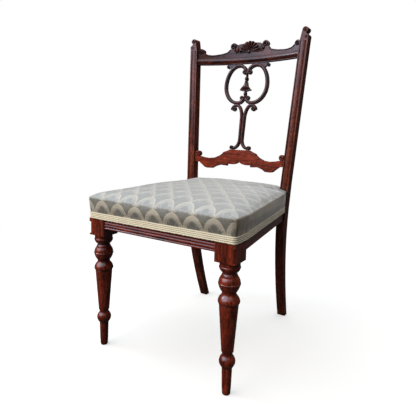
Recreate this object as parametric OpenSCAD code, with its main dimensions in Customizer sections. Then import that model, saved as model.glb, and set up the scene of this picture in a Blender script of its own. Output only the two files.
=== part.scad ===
// Side chair with turned front legs, swept back legs, a carved and pierced back and a stuffed-over seat.
// X runs across the chair, the chair faces -Y, and Z is up. The origin is on the floor, at the middle.

/* [Whole chair] */
// Height to the top of the back posts
chair_h = 907; // [872:5:947]
// Depth from the front of the cover to the heels
chair_d = 504; // [480:2:530]

/* [Front legs] */
// Width over the square blocks of the front legs
front_w = 440; // [410:2:470]
// Side of a square block
block_side = 52; // [50:1:58]
// Height of the turned stretch under the block
turned_h = 314; // [300:1:320]
// Largest radius of the turning, at its ball
ball_r = 25.7; // [22:0.1:26]
// Leg of the stopped chamfer on the outer corner of a block
block_chamfer = 5.5; // [3:0.5:9]

/* [Seat frame] */
// Height of the lower edge of the seat rails
rail_z = 335; // [328:1:340]
// Height of a seat rail
rail_h = 56; // [50:1:60]
// Thickness of a seat rail
rail_t = 24.8; // [22:0.2:28]
// Setback of the part of a rail that shows, behind the faces of the blocks
rail_setback = 2.8; // [1.6:0.2:5]
// Width of the seat where it meets the back posts
seat_rear_w = 352; // [340:1:356]
// Height of a corner block
brace_h = 30; // [20:1:36]
// Reach of a corner block along its rails
brace_reach = 54; // [44:1:64]

/* [Back posts] */
// Width over the posts at the floor
heel_w = 325; // [300:1:350]
// Width over the posts at the knee, where the rake starts
knee_w = 356; // [350:1:370]
// Width over the posts at the top
top_w = 415; // [390:1:435]
// Width of a post, seen from the front
post_w = 25; // [24:0.5:30]
// Depth of a post above the seat
post_d = 28.5; // [27:0.5:34]
// Depth of a post at the knee
knee_d = 32; // [30:0.5:38]
// Depth of a post at the heel
heel_d = 19; // [15:0.5:26]
// Height of the knee
knee_z = 375; // [368:1:382]
// Angle that the back leans at
rake = 5.5; // [3:0.5:8]
// How far a heel lies behind the knee
sweep = 80.5; // [50:0.5:100]
// Height of the scroll that ends a post
finial_h = 40; // [36:1:48]

/* [Crest rail] */
// Height of the moulded part of the crest rail
crest_h = 34; // [28:1:40]
// Thickness of the crest rail
crest_t = 20; // [17:0.5:22]
// How far the crest rail's ends lie behind the faces of the posts
crest_setback = 8; // [4:0.5:8.5]
// How far the middle of the crest rail bows backward
crest_bow = 25.5; // [10:0.5:32]
// Distance of the crest rail's lower edge below the tops of the posts
crest_drop = 86.5; // [80:0.5:105]
// Height of the carved cresting above the moulding
cresting_h = 40; // [26:1:46]
// Thickness of the carved cresting
cresting_t = 12; // [8:0.5:16]

/* [Lower rail of the back] */
// Height of the lower rail's flat top above the knee, along the posts
lower_top = 165; // [140:1:190]
// Thickness of the lower rail
lower_t = 16; // [13:0.5:20]
// How far its ends lie behind the faces of the posts
lower_setback = 4; // [2:0.5:8]
// How far its middle bows backward
lower_bow = 15; // [8:0.5:22]
// Height of the whole lower rail
lower_h = 65.5; // [55:0.5:75]

/* [Splat] */
// Width of the ring of scrolls
ring_w = 158; // [130:1:186]
// Width of the ring's band
band_w = 11; // [8:0.5:13]
// Thickness of the splat
splat_t = 9; // [8:0.5:11]

/* [Upholstery] */
// Height of the seat's front and side edge
edge_z = 416; // [410:1:426]
// Rise of the crown above the edge
crown_h = 33; // [20:1:42]
// Bulge of the cover beyond the frame
cover_bulge = 6; // [4:0.5:8]
// Thickness of the cover
cover_t = 0.7; // [0.6:0.1:1]
// Width of the braid
gimp_w = 17.3; // [14:0.1:20]
// Thickness of the braid
gimp_t = 1.2; // [0.8:0.1:1.6]
// Height of the braid's lower edge
gimp_z = 359.7; // [356:0.1:362]
// Width of a webbing strap
strap_w = 50; // [40:1:54]
// Thickness of a webbing strap
strap_t = 1.6; // [1.2:0.1:2]

/* [Fastenings] */
// Radius of the seat frame's dowels
dowel_r = 4; // [3:0.25:4.5]
// Length of the seat frame's dowels
dowel_l = 40; // [30:1:46]
// Radius of the dowels in the back
back_dowel_r = 2.5; // [2:0.25:3]
// Length of the dowels in the back
back_dowel_l = 24; // [16:1:30]
// Radius of a screw's shank
screw_r = 2.2; // [1.5:0.1:2.6]
// Length of a screw
screw_l = 38; // [32:1:40]
// Radius of a tack's head
tack_head_r = 3; // [2:0.25:3.5]
// Length of a tack
tack_l = 12; // [8:0.5:14]

/* [Hidden] */

// Turns that a row of points goes through
half_turn = 180;
quarter_turn = 90;

// Clearance round what is glued or driven into a hole
fit_gap = 0.05;
// Gap between pieces that only lie beside each other
lay_gap = 0.15;
// Overrun of every cut past the face that it leaves
overrun = 1;
// Facets of a round shape
round_fn = 64;

// Heights and places that follow from the sizes above
rail_top = rail_z + rail_h;
front_face_y = -chair_d / 2 + cover_bulge;
leg_x = front_w / 2 - block_side / 2;
leg_y = front_face_y + block_side / 2;
block_back_y = front_face_y + block_side;
block_in_x = front_w / 2 - block_side;
knee_y = chair_d / 2 - heel_d - sweep;
post_len = (chair_h - knee_z) / cos(rake);
splay = atan((top_w - knee_w) / 2 / post_len);
// Radius of the corner of a block under the cover
corner_r = 9;
// The rear rail lies this far inside the backs of the posts
rear_rail_inset = 3.5;
rear_face_y = knee_y + knee_d - rear_rail_inset;
rear_rail_t = 22;
// Plan angle of a side rail
side_angle = atan((front_w - seat_rear_w) / 2 / (knee_y - block_back_y));

wood = "#5a241c";
beech = "#b08a5c";

function lerp(a, b, t) = a + (b - a) * t;
function mirrored(points) = [for (i = [len(points) - 1 : -1 : 0]) [-points[i][0], points[i][1]]];
// Points from p to q, without p, on a parabola that stands off the straight line by bulge, to its right
function curve(p, q, bulge, steps) =
    let (d = q - p, n = [d[1], -d[0]] / norm(d))
    [for (i = [1 : steps]) let (t = i / steps) p + d * t + n * 4 * bulge * t * (1 - t)];
// Points of an ellipse's arc
function ellipse(centre, a, b, from, to, steps) =
    [for (i = [0 : steps]) let (w = lerp(from, to, i / steps)) centre + [a * cos(w), b * sin(w)]];
// A closed band along a line of points: half its width to each side
function band(line, halves) =
    let (n = len(line) - 1,
        dirs = [for (i = [0 : n]) let (d = line[min(i + 1, n)] - line[max(i - 1, 0)]) d / norm(d)])
    concat([for (i = [0 : n]) line[i] + [-dirs[i][1], dirs[i][0]] * halves[i]],
        [for (i = [n : -1 : 0]) line[i] - [-dirs[i][1], dirs[i][0]] * halves[i]]);

module mirror_if(side) {
    if (side < 0) mirror([1, 0, 0]) children();
    else children();
}
module both_sides() {
    for (side = [-1, 1]) mirror_if(side) children();
}
// Along a back that leans: x across, y to the rear, z up the posts from the knee
module on_back() {
    translate([0, knee_y, knee_z]) rotate([-rake, 0, 0]) children();
}
// Stands an outline in x and z up, from y = 0 to y = depth
module upright(depth) {
    translate([0, depth, 0]) rotate([90, 0, 0]) linear_extrude(depth) children();
}

/* Front legs */
// The turning, from the floor up: height share, radius share and bulge share of each stretch's end
turning_shares = [
    [0, 0.29, 0], [0.013, 0.38, 0.03], [0.06, 0.42, 0], [0.2, 0.465, 0], [0.215, 0.53, -0.03],
    [0.302, 0.49, 0.23], [0.31, 0.47, 0],
    [0.33, 0.55, -0.02], [0.684, 0.872, 0], [0.688, 0.85, 0], [0.695, 0.94, 0], [0.708, 0.985, 0.01],
    [0.748, 0.76, 0.045],
    [0.767, 0.635, -0.02], [0.775, 0.635, 0], [0.834, 0.98, 0.05], [0.836, 1, 0], [0.842, 1, 0],
    [0.844, 0.975, 0], [0.887, 0.8, 0.04], [0.889, 0.75, 0], [0.912, 0.64, 0.02], [0.919, 0.64, 0],
    [0.952, 0.935, 0.045], [0.966, 0.93, 0.03], [0.97, 0.915, 0], [1, 0.915, 0]];
// Points on a bulged stretch of the turning
turning_steps = 6;
// Ends of the stopped chamfer, as shares of the block's height that shows
chamfer_shares = [0.08, 0.78];

function turning_point(i) = [turning_shares[i][1] * ball_r, turning_shares[i][0] * turned_h];
function turning_outline() = concat([turning_point(0)],
    [for (i = [1 : len(turning_shares) - 1])
        let (bulge = turning_shares[i][2] * ball_r)
        each curve(turning_point(i - 1), turning_point(i), bulge, bulge == 0 ? 1 : turning_steps)]);

module front_leg() {
    difference() {
        union() {
            translate([leg_x, leg_y, 0]) rotate_extrude($fn = round_fn)
                polygon(concat([[0, 0]], turning_outline(), [[0, turned_h]]));
            translate([block_in_x, front_face_y, turned_h])
                cube([block_side, block_side, gimp_z - turned_h]);
            translate([block_in_x, front_face_y + corner_r, gimp_z])
                cube([block_side, block_side - corner_r, rail_top - gimp_z]);
            translate([block_in_x, front_face_y, gimp_z])
                cube([block_side - corner_r, block_side, rail_top - gimp_z]);
            translate([front_w / 2 - corner_r, front_face_y + corner_r, gimp_z])
                cylinder(h = rail_top - gimp_z, r = corner_r - lay_gap, $fn = round_fn);
        }
        translate([front_w / 2, front_face_y, lerp(turned_h, gimp_z, chamfer_shares[0])])
            linear_extrude((gimp_z - turned_h) * (chamfer_shares[1] - chamfer_shares[0]))
                polygon([[-block_chamfer, -overrun], [overrun, -overrun], [overrun, block_chamfer],
                    [0, block_chamfer], [-block_chamfer, 0]]);
        front_dowel_pair(fit_gap);
        side_front_dowel_pair(fit_gap);
    }
}
module front_leg_left() { color(wood) mirror_if(-1) front_leg(); }
module front_leg_right() { color(wood) front_leg(); }

/* Seat rails */
// The reeds of the front rail: edges as shares of the height that shows, and how full they are
reed_edge_shares = [0, 0.19, 0.5, 0.77];
reed_round = 1.5;
reed_steps = 5;
// The rails' rebate starts this far above the braid's lower edge, behind the braid
rebate_rise = 2;
rebate_z = gimp_z + rebate_rise;

// A rail's section in depth (from its outer face) and height, with reeds or plain
function rail_section(reeded) =
    let (show_h = gimp_z - rail_z,
        edges = [for (s = reed_edge_shares) [rail_setback, rail_z + s * show_h]],
        reeds = [for (i = [1 : len(edges) - 1])
            each curve(edges[i - 1], edges[i], -min(reed_round, rail_setback), reed_steps)])
    concat([[rail_t, rail_z], [rail_setback, rail_z]], reeded ? reeds : [],
        [[rail_setback, rebate_z], [0, rebate_z], [0, rail_top], [rail_t, rail_top]]);

// A rail's section swept along a length, its outer face at y = 0, facing -y, from x = 0
module rail_bar(length, reeded) {
    rotate([90, 0, 90]) linear_extrude(length) polygon(rail_section(reeded));
}
module front_seat_rail() {
    color(wood) difference() {
        translate([-block_in_x, front_face_y, 0]) rail_bar(2 * block_in_x, true);
        both_sides() {
            front_dowel_pair(fit_gap);
            brace_screw_front_a(fit_gap);
        }
        front_tack_places() tack_hole();
    }
}
// Runs along the right side rail: x along the rail from the block, y inward from its outer face
module along_side() {
    translate([front_w / 2, block_back_y, 0]) rotate([0, 0, 90 + side_angle]) children();
}
side_len = (knee_y - block_back_y) / cos(side_angle);
side_slack = rail_t * tan(side_angle);
module side_rail() {
    difference() {
        intersection() {
            along_side() translate([-side_slack - overrun, 0, 0])
                rail_bar(side_len + 2 * (side_slack + overrun), false);
            translate([0, block_back_y, 0]) cube([front_w, knee_y - block_back_y, rail_top + overrun]);
        }
        side_front_dowel_pair(fit_gap);
        side_rear_dowel_pair(fit_gap);
        brace_screw_front_b(fit_gap);
        brace_screw_rear_b(fit_gap);
        side_tack_places() tack_hole();
    }
}
module left_seat_rail() { color(wood) mirror_if(-1) side_rail(); }
module right_seat_rail() { color(wood) side_rail(); }

// Half the distance between the posts' inner faces at a height
function post_out_x(z) = z < knee_z ? lerp(heel_w, knee_w, z / knee_z) / 2
    : lerp(knee_w, top_w, (z - knee_z) / (chair_h - knee_z)) / 2;
function post_in_x(z) = post_out_x(z) - post_w;

module rear_seat_rail() {
    color(wood) difference() {
        translate([0, rear_face_y - rear_rail_t, 0]) upright(rear_rail_t)
            polygon([[-post_in_x(rail_z), rail_z], [post_in_x(rail_z), rail_z], [post_in_x(knee_z), knee_z],
                [post_in_x(rail_top), rail_top], [-post_in_x(rail_top), rail_top],
                [-post_in_x(knee_z), knee_z]]);
        both_sides() {
            rear_dowel_pair(fit_gap);
            brace_screw_rear_a(fit_gap);
        }
        rear_tack_places() tack_hole();
    }
}

/* Back posts */
// The sweep is a power curve that ends at this share of the knee's height
sweep_end_share = 0.907;
sweep_power = 1.68;
sweep_steps = 18;
// Above the knee a post thins to its depth over this height
thin_h = 75;
function front_y(z) = z < knee_z
    ? knee_y + sweep * pow(max(0, 1 - z / (knee_z * sweep_end_share)), sweep_power)
    : knee_y + (z - knee_z) * tan(rake);
function depth_at(z) = z < knee_z ? lerp(heel_d, knee_d, z / knee_z)
    : lerp(knee_d, post_d, min(1, (z - knee_z) / thin_h)) / cos(rake);

function post_side_outline() =
    let (levels = concat([for (i = [0 : sweep_steps]) knee_z * i / sweep_steps], [knee_z + thin_h, chair_h]))
    concat([for (z = levels) [front_y(z), z]],
        [for (i = [len(levels) - 1 : -1 : 0]) [front_y(levels[i]) + depth_at(levels[i]), levels[i]]]);

// The scroll that ends a post: shares of the post's width and of the scroll's height
scroll_r_share = 0.34;
scroll_x_share = 0.5;
shoulder_r_share = 0.3;
shoulder_z_share = 0.28;
notch_shares = [0.72, 0.5];
module finial_outline() {
    base = chair_h - finial_h;
    in_x = post_in_x(base);
    scroll_r = scroll_r_share * post_w;
    lean_x = post_in_x(chair_h) - in_x;
    top_x = in_x + scroll_x_share * post_w + lean_x;
    shoulder_r = shoulder_r_share * post_w;
    polygon([[in_x, base], [in_x + post_w, base],
        [in_x + post_w + lean_x / 2, base + shoulder_z_share * finial_h],
        [in_x + notch_shares[0] * post_w + lean_x / 2, base + notch_shares[1] * finial_h],
        [top_x, chair_h - scroll_r], [top_x - scroll_r, chair_h - scroll_r]]);
    translate([top_x, chair_h - scroll_r]) circle(scroll_r, $fn = round_fn);
    translate([in_x + post_w + lean_x / 2 - shoulder_r, base + shoulder_z_share * finial_h])
        circle(shoulder_r, $fn = round_fn);
}
module post_front_outline() {
    base = chair_h - finial_h;
    polygon([[post_out_x(0) - post_w, 0], [post_out_x(0), 0], [post_out_x(knee_z), knee_z],
        [post_out_x(base), base], [post_in_x(base), base], [post_in_x(knee_z), knee_z]]);
    finial_outline();
}
// The reeded panel on the front of a post: plain margins, depth and height where it starts
reed_in = 3;
reed_out = 4.5;
reed_depth = 1.8;
reed_start = 20;
reed_w = post_w - reed_in - reed_out;
reed_radius = (pow(reed_w / 2, 2) + pow(reed_depth, 2)) / 2 / reed_depth;
// A flat strip stays at each side of the rounded reed, at the bottom of the panel
reed_strip = 0.8;
// The rounded reed lies a little below the post's face, and runs on into the wood past both ends of the panel
reed_sink = 0.2;
reed_lap = 1;
reed_len = (chair_h - finial_h - knee_z) / cos(rake) / cos(splay) - reed_start;
module along_post() {
    on_back() translate([knee_w / 2 - post_w, 0, 0]) rotate([0, splay, 0]) children();
}
module reed_recess() {
    along_post() translate([reed_in, -overrun, reed_start])
        cube([reed_w, overrun + reed_depth, reed_len]);
}
module reed_round_bar() {
    long = reed_len + 2 * reed_lap;
    along_post() translate([reed_in, reed_sink, reed_start - reed_lap]) intersection() {
        translate([reed_w / 2, reed_radius, 0]) cylinder(h = long, r = reed_radius, $fn = round_fn);
        translate([reed_strip, 0, 0]) cube([reed_w - 2 * reed_strip, 2 * reed_depth, long]);
    }
}
module rear_post() {
    difference() {
        union() {
            difference() {
                intersection() {
                    rotate([90, 0, 90]) linear_extrude(top_w) polygon(post_side_outline());
                    upright(chair_d) post_front_outline();
                }
                reed_recess();
            }
            reed_round_bar();
        }
        side_rear_dowel_pair(fit_gap);
        rear_dowel_pair(fit_gap);
        crest_dowel_pair(fit_gap);
        lower_dowel_pair(fit_gap);
    }
}
module rear_post_left() { color(wood) mirror_if(-1) rear_post(); }
module rear_post_right() { color(wood) rear_post(); }

/* Back rails */
function back_in_x(s) = knee_w / 2 - post_w + s * tan(splay);
crest_z = post_len - crest_drop;
crest_top = crest_z + crest_h;
// Radius of a face that bows back by bow over half a width
function bow_radius(half, bow) = (half * half + bow * bow) / 2 / bow;
crest_half = back_in_x(crest_z);
crest_r = bow_radius(crest_half, crest_bow);
crest_centre_y = crest_setback + crest_bow - crest_r;
lower_half = back_in_x(lower_top);
lower_r = bow_radius(lower_half, lower_bow);
lower_centre_y = lower_setback + lower_bow - lower_r;
bow_fn = 180;

// Section of the crest rail's moulding: shares of its thickness and height, and bulges
moulding_shares = [[0.06, 0, 0], [0.06, 0.05, 0], [0.06, 0.6, -0.22], [0.3, 0.64, 0.02], [0.2, 0.68, -0.02],
    [0.28, 0.95, 0.05], [0.34, 1, -0.02]];
moulding_steps = 6;
// The underside rises to the back, from this share of the thickness to this share of the height
under_shares = [0.65, 0.2];
function moulding_outline() =
    let (place = [for (m = moulding_shares) [m[0] * crest_t, crest_z + m[1] * crest_h]])
    concat([place[0]], [for (i = [1 : len(place) - 1])
        each curve(place[i - 1], place[i], moulding_shares[i][2] * crest_t,
            moulding_shares[i][2] == 0 ? 1 : moulding_steps)],
        [[crest_t, crest_top], [crest_t, lerp(crest_z, crest_top, under_shares[1])],
            [under_shares[0] * crest_t, crest_z]]);

// Cresting, right half: places as shares of the crest rail's half width and the cresting's height
shell_w_share = 0.18;
shell_lobes = 9;
lobe_steps = 4;
lobe_depth = 0.08;
shell_base_share = 0.12;
leaf_shares = [[0.144, 0.8], [0.215, 0.76], [0.24, 0.7], [0.318, 0.45]];
volute_shares = [0.318, 0.62];
volute_r_share = 0.288;
sweep_shares = [[0.392, 0.4], [0.43, 0.18], [0.56, 0.045], [0.72, -0.036], [0.83, 0.027], [0.89, 0.18]];
end_scroll_shares = [0.952, 0.27];
end_scroll_r_share = 0.25;
function cresting_place(s) = [s[0] * crest_half, crest_top + s[1] * cresting_h];
module cresting_outline() {
    shell_w = shell_w_share * crest_half;
    shell_base = crest_top + shell_base_share * cresting_h;
    shell_h = cresting_h * (1 - shell_base_share);
    polygon([for (i = [0 : shell_lobes * lobe_steps])
        let (w = half_turn * i / shell_lobes / lobe_steps, f = i / lobe_steps,
            dent = 1 - lobe_depth * (1 - abs(sin(half_turn * f))))
        [shell_w * cos(w) * dent, shell_base + shell_h * sin(w) * dent]]);
    both_sides() {
        polygon(concat([[0, crest_z + crest_h / 2], [0, shell_base]],
            [for (s = concat(leaf_shares, sweep_shares)) cresting_place(s)],
            [cresting_place(end_scroll_shares), cresting_place([1 + end_over_share, end_scroll_shares[1]]),
                [crest_half * (1 + end_over_share), crest_z + crest_h / 2]]));
        translate(cresting_place(volute_shares)) circle(volute_r_share * cresting_h, $fn = round_fn);
        translate(cresting_place(end_scroll_shares)) circle(end_scroll_r_share * cresting_h, $fn = round_fn);
    }
}
// The outlines run past the posts by this share of a rail's half width, and the posts' inner planes cut them
end_over_share = 0.04;
// The space between the posts above the knee
module between_posts() {
    low = post_in_x(knee_z) - fit_gap;
    high = post_in_x(chair_h) - fit_gap;
    upright(chair_d) polygon([[-low, knee_z], [low, knee_z], [high, chair_h], [-high, chair_h]]);
}
// A board bowed backward, with its front face at radius r about an upright axis
module bowed_board(r, thickness, low, high) {
    rotate_extrude($fn = bow_fn) translate([r, low]) square([thickness, high - low]);
}
module crest_body() {
    intersection() {
        translate([0, crest_centre_y, 0]) rotate_extrude($fn = bow_fn)
            translate([crest_r, 0]) polygon(moulding_outline());
        upright(crest_r) translate([-crest_half * (1 + end_over_share), crest_z])
            square([2 * crest_half * (1 + end_over_share), crest_h]);
    }
    // The cresting stands on the middle of the moulding's thickness
    intersection() {
        translate([0, crest_centre_y, 0])
            bowed_board(crest_r + (crest_t - cresting_t) / 2, cresting_t, crest_z, post_len + overrun);
        upright(crest_r) cresting_outline();
    }
}
module crest_rail() {
    color(wood) difference() {
        intersection() {
            on_back() crest_body();
            between_posts();
        }
        both_sides() crest_dowel_pair(fit_gap);
        splat_top_dowels(fit_gap);
    }
}

// Lower rail, right half: shares of its half width, and of its height from its lowest edge
lower_top_shares = [[0.22, 1], [0.24, 0.955], [0.3, 0.9], [0.35, 0.85], [0.375, 0.77], [0.43, 0.67],
    [0.54, 0.55], [0.68, 0.51], [0.8, 0.54], [0.88, 0.58]];
lower_scroll_shares = [0.93, 0.72];
lower_scroll_r_share = 0.14;
lower_end_shares = [[1 + end_over_share, 0.62], [1 + end_over_share, 0.31]];
lower_bottom_shares = [[0.88, 0.29], [0.81, 0.16], [0.745, 0.03], [0.69, 0], [0.6, 0.01], [0.53, 0.12],
    [0.42, 0.21],
    [0.27, 0.18], [0.265, 0.28], [0.16, 0.265], [0.08, 0.3], [0, 0.415]];
function lower_place(s) = [s[0] * lower_half, lower_top - lower_h + s[1] * lower_h];
module lower_shape() {
    half = [for (s = concat(lower_top_shares, lower_end_shares, lower_bottom_shares)) lower_place(s)];
    upright(lower_r) polygon(concat(half, [for (i = [len(half) - 2 : -1 : 0]) [-half[i][0], half[i][1]]]));
    both_sides() upright(lower_r) translate(lower_place(lower_scroll_shares))
        circle(lower_scroll_r_share * lower_h, $fn = round_fn);
}
module lower_back_rail() {
    color(wood) difference() {
        intersection() {
            on_back() intersection() {
                translate([0, lower_centre_y, 0])
                    bowed_board(lower_r, lower_t, lower_top - lower_h - overrun, lower_top + overrun);
                lower_shape();
            }
            between_posts();
        }
        both_sides() lower_dowel_pair(fit_gap);
        splat_foot_dowels(fit_gap);
    }
}

/* Splat */
// The splat's face lies this far behind the faces of the two rails that hold it
splat_setback = 1;
splat_low_y = lower_setback + lower_bow + splat_setback;
splat_top_y = crest_setback + crest_bow + splat_setback;
splat_len = crest_z - lower_top;
splat_tilt = atan((splat_top_y - splat_low_y) / splat_len);
// The splat's own frame: x across, y back from its face, z up from the lower rail
module on_splat() {
    on_back() translate([0, splat_low_y, lower_top]) rotate([-splat_tilt, 0, 0]) children();
}
// Heights on the splat, as shares of its length
ring_mid_share = 0.75;
ring_low_share = 0.5445;
stem_share = 0.365;
ankle_share = 0.125;
// Half widths of the lines of the scrolls, as shares of the ring's width
top_lobe_share = 0.2;
low_lobe_share = 0.16;
middle_share = 0.032;
head_x_share = 0.165;
foot_x_share = 0.165;
top_ball_shares = [0.056, -0.078, 0.05];
low_ball_shares = [0.068, 0.058, 0.043];
head_ball_shares = [0.218, -0.022, 0.05];
foot_ball_shares = [0.195, 0.026, 0.041];
tab_ball_shares = [0.45, -0.026, 0.036];
head_hook_shares = [0.1, 0.055];
curve_steps = 10;
// A quarter of an ellipse that goes on from the line before it
function arc_on(centre, a, b, from, to) =
    let (points = ellipse(centre, a, b, from, to, curve_steps)) [for (i = [1 : curve_steps]) points[i]];
// Width of a stem of the V, as a share of the band's width
stem_w_share = 0.82;
ring_top = splat_len - band_w / 2;
// The heads of the V reach this far into the ring above them
head_lap = 2.6;
stem_head = ring_low_share * splat_len - band_w / 2 - band_w * stem_w_share / 2 + head_lap;

// The right half of the ring: one line through four quarter ellipses
function ring_line() =
    let (mid = ring_mid_share * splat_len, low = ring_low_share * splat_len,
        side = ring_w / 2 - band_w / 2, top_x = top_lobe_share * ring_w, low_x = low_lobe_share * ring_w,
        in_x = middle_share * ring_w, hook = -top_ball_shares[1] * splat_len,
        low_hook = low_ball_shares[1] * splat_len)
    concat(ellipse([top_x, ring_top - hook], top_x - in_x, hook, 180, 90, curve_steps),
        arc_on([top_x, mid], side - top_x, ring_top - mid, 90, 0),
        arc_on([low_x, mid], side - low_x, mid - low, 0, -90),
        arc_on([low_x, low + low_hook], low_x - in_x, low_hook, -90, -180));
// A stem of the V, from its head down to its foot
function stem_line() =
    let (head = stem_head, stem = stem_share * splat_len,
        ankle = ankle_share * splat_len,
        in_x = middle_share * ring_w, head_x = head_x_share * ring_w, foot_x = foot_x_share * ring_w)
    concat(ellipse([head_x, head - head_hook_shares[1] * splat_len], head_hook_shares[0] * ring_w,
            head_hook_shares[1] * splat_len, 0, 90, curve_steps / 2),
        arc_on([head_x, stem], head_x - in_x, head - stem, 90, 180),
        ellipse([foot_x, ankle], foot_x - in_x * stem_w_share, ankle - band_w / 2, 180, 270, curve_steps));
function full(count, half) = [for (i = [1 : count]) half];

// The hanging flower: half width as a share of the ring's width, height as a share of the splat's length
flower_shares = [[0.016, 0.905], [0.016, 0.845], [0.031, 0.835], [0.034, 0.82], [0.028, 0.806],
    [0.012, 0.798], [0.03, 0.785], [0.05, 0.735], [0.065, 0.71], [0.123, 0.7], [0.123, 0.69],
    [0.06, 0.683], [0.016, 0.676], [0.03, 0.655], [0.03, 0.64], [0.02, 0.62], [0.02, 0.59]];
tab_shares = [[0.28, 0.95], [0.35, 0.93], [0.42, 0.962], [0.444, 0.97], [0.444, 1], [0.28, 1]];

// The end of a scroll: a disc at shares of the ring's width and of the splat's length, above a height
module ball(shares, z) {
    upright(splat_t) translate([shares[0] * ring_w, z + shares[1] * splat_len])
        circle(shares[2] * ring_w, $fn = round_fn);
}
module splat_half() {
    ring = ring_line();
    stem = stem_line();
    top = splat_len;
    upright(splat_t) polygon(band(ring, full(len(ring), band_w / 2)));
    upright(splat_t) polygon(band(stem, full(len(stem), band_w * stem_w_share / 2)));
    ball(top_ball_shares, ring_top);
    ball(low_ball_shares, ring_low_share * top);
    ball(head_ball_shares, stem_head - band_w / 2);
    ball(foot_ball_shares, 0);
    ball(tab_ball_shares, top);
    upright(splat_t) polygon([for (s = tab_shares) [s[0] * ring_w, s[1] * top]]);
}
module back_splat() {
    color(wood) difference() {
        on_splat() {
            both_sides() splat_half();
            upright(splat_t) polygon([for (s = concat(flower_shares, mirrored(flower_shares)))
                [s[0] * ring_w, s[1] * splat_len]]);
        }
        splat_top_dowels(fit_gap);
        splat_foot_dowels(fit_gap);
    }
}

/* Dowels */
side_dowel_shares = [0.18, 0.68];
rear_dowel_shares = [0.43, 0.89];
// Depth of a dowel's middle behind the outer face of a rail
dowel_in = (rail_t + rail_setback) / 2;
module pin(length, r, grow) {
    translate([0, 0, -length / 2 - grow]) cylinder(h = length + 2 * grow, r = r + grow, $fn = round_fn);
}
module front_dowel_pair(grow) {
    for (s = side_dowel_shares) translate([block_in_x, front_face_y + dowel_in, rail_z + s * rail_h])
        rotate([0, 90, 0]) pin(dowel_l, dowel_r, grow);
}
module side_front_dowel_pair(grow) {
    for (s = side_dowel_shares) along_side() translate([side_slack / 2, dowel_in, rail_z + s * rail_h])
        rotate([0, 90, 0]) pin(dowel_l, dowel_r, grow);
}
module side_rear_dowel_pair(grow) {
    for (s = side_dowel_shares) along_side() translate([side_len, dowel_in, rail_z + s * rail_h])
        rotate([0, 90, 0]) pin(dowel_l, dowel_r, grow);
}
module rear_dowel_pair(grow) {
    for (s = rear_dowel_shares)
        translate([post_in_x(rail_z + s * rail_h) - dowel_r, rear_face_y - rear_rail_t / 2,
            rail_z + s * rail_h])
            rotate([0, 90, 0]) pin(dowel_l - 2 * dowel_r, dowel_r, grow);
}
// Each end of the crest rail has two dowels, as shares of its moulding's height
crest_dowel_shares = [0.25, 0.78];
module crest_dowel_pair(grow) {
    on_back() for (s = crest_dowel_shares)
        translate([back_in_x(crest_z + s * crest_h), crest_setback + crest_t / 2, crest_z + s * crest_h])
            rotate([0, 90, 0]) pin(back_dowel_l, back_dowel_r, grow);
}
lower_dowel_share = 0.45;
module lower_dowel_pair(grow) {
    s = lower_top - lower_h * (1 - lower_dowel_share);
    on_back() translate([back_in_x(s), lower_setback + lower_t / 2, s])
        rotate([0, 90, 0]) pin(back_dowel_l, back_dowel_r, grow);
}
splat_dowel_l = 12.5;
// The splat's dowels lie this much further into the rails than into the splat
splat_dowel_shift = 2.75;
module splat_top_dowels(grow) {
    on_splat() for (side = [-1, 1])
        translate([side * top_lobe_share * ring_w, splat_t / 2, splat_len + splat_dowel_shift])
            pin(splat_dowel_l, back_dowel_r, grow);
}
module splat_foot_dowels(grow) {
    on_splat() for (side = [-1, 1]) translate([side * foot_x_share * ring_w, splat_t / 2, -splat_dowel_shift])
        pin(splat_dowel_l, back_dowel_r, grow);
}
module front_rail_dowels() { color(beech) both_sides() front_dowel_pair(0); }
module side_rail_front_dowels() { color(beech) both_sides() side_front_dowel_pair(0); }
module side_rail_rear_dowels() { color(beech) both_sides() side_rear_dowel_pair(0); }
module rear_rail_dowels() { color(beech) both_sides() rear_dowel_pair(0); }
module crest_rail_dowels() { color(beech) both_sides() crest_dowel_pair(0); }
module lower_back_rail_dowels() { color(beech) both_sides() lower_dowel_pair(0); }
module splat_dowels() {
    color(beech) {
        splat_top_dowels(0);
        splat_foot_dowels(0);
    }
}

/* Corner blocks and their screws */
brace_z = rail_z + (rail_h - brace_h) / 2;
// Inner face of the right side rail at a place along the depth
function side_in_x(y) = front_w / 2 - (y - block_back_y) * tan(side_angle) - rail_t / cos(side_angle);
front_rail_in_y = front_face_y + rail_t;
rear_rail_in_y = rear_face_y - rear_rail_t;
module front_brace_outline() {
    polygon([[block_in_x, front_rail_in_y], [block_in_x - brace_reach, front_rail_in_y],
        [side_in_x(block_back_y + brace_reach), block_back_y + brace_reach],
        [side_in_x(block_back_y), block_back_y], [block_in_x, block_back_y]]);
}
// The rear block clears the leaning inner face of its post
rear_brace_x = min(post_in_x(brace_z), side_in_x(knee_y));
module rear_brace_outline() {
    polygon([[rear_brace_x, rear_rail_in_y], [rear_brace_x - brace_reach, rear_rail_in_y],
        [side_in_x(knee_y - brace_reach), knee_y - brace_reach], [side_in_x(knee_y), knee_y],
        [rear_brace_x, knee_y]]);
}
// Screws: a shank from the rail through the block to a head sunk in the block
screw_head_r = 2 * screw_r;
screw_head_h = screw_r;
screw_share = 0.5;
screw_bite = 14;
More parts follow.
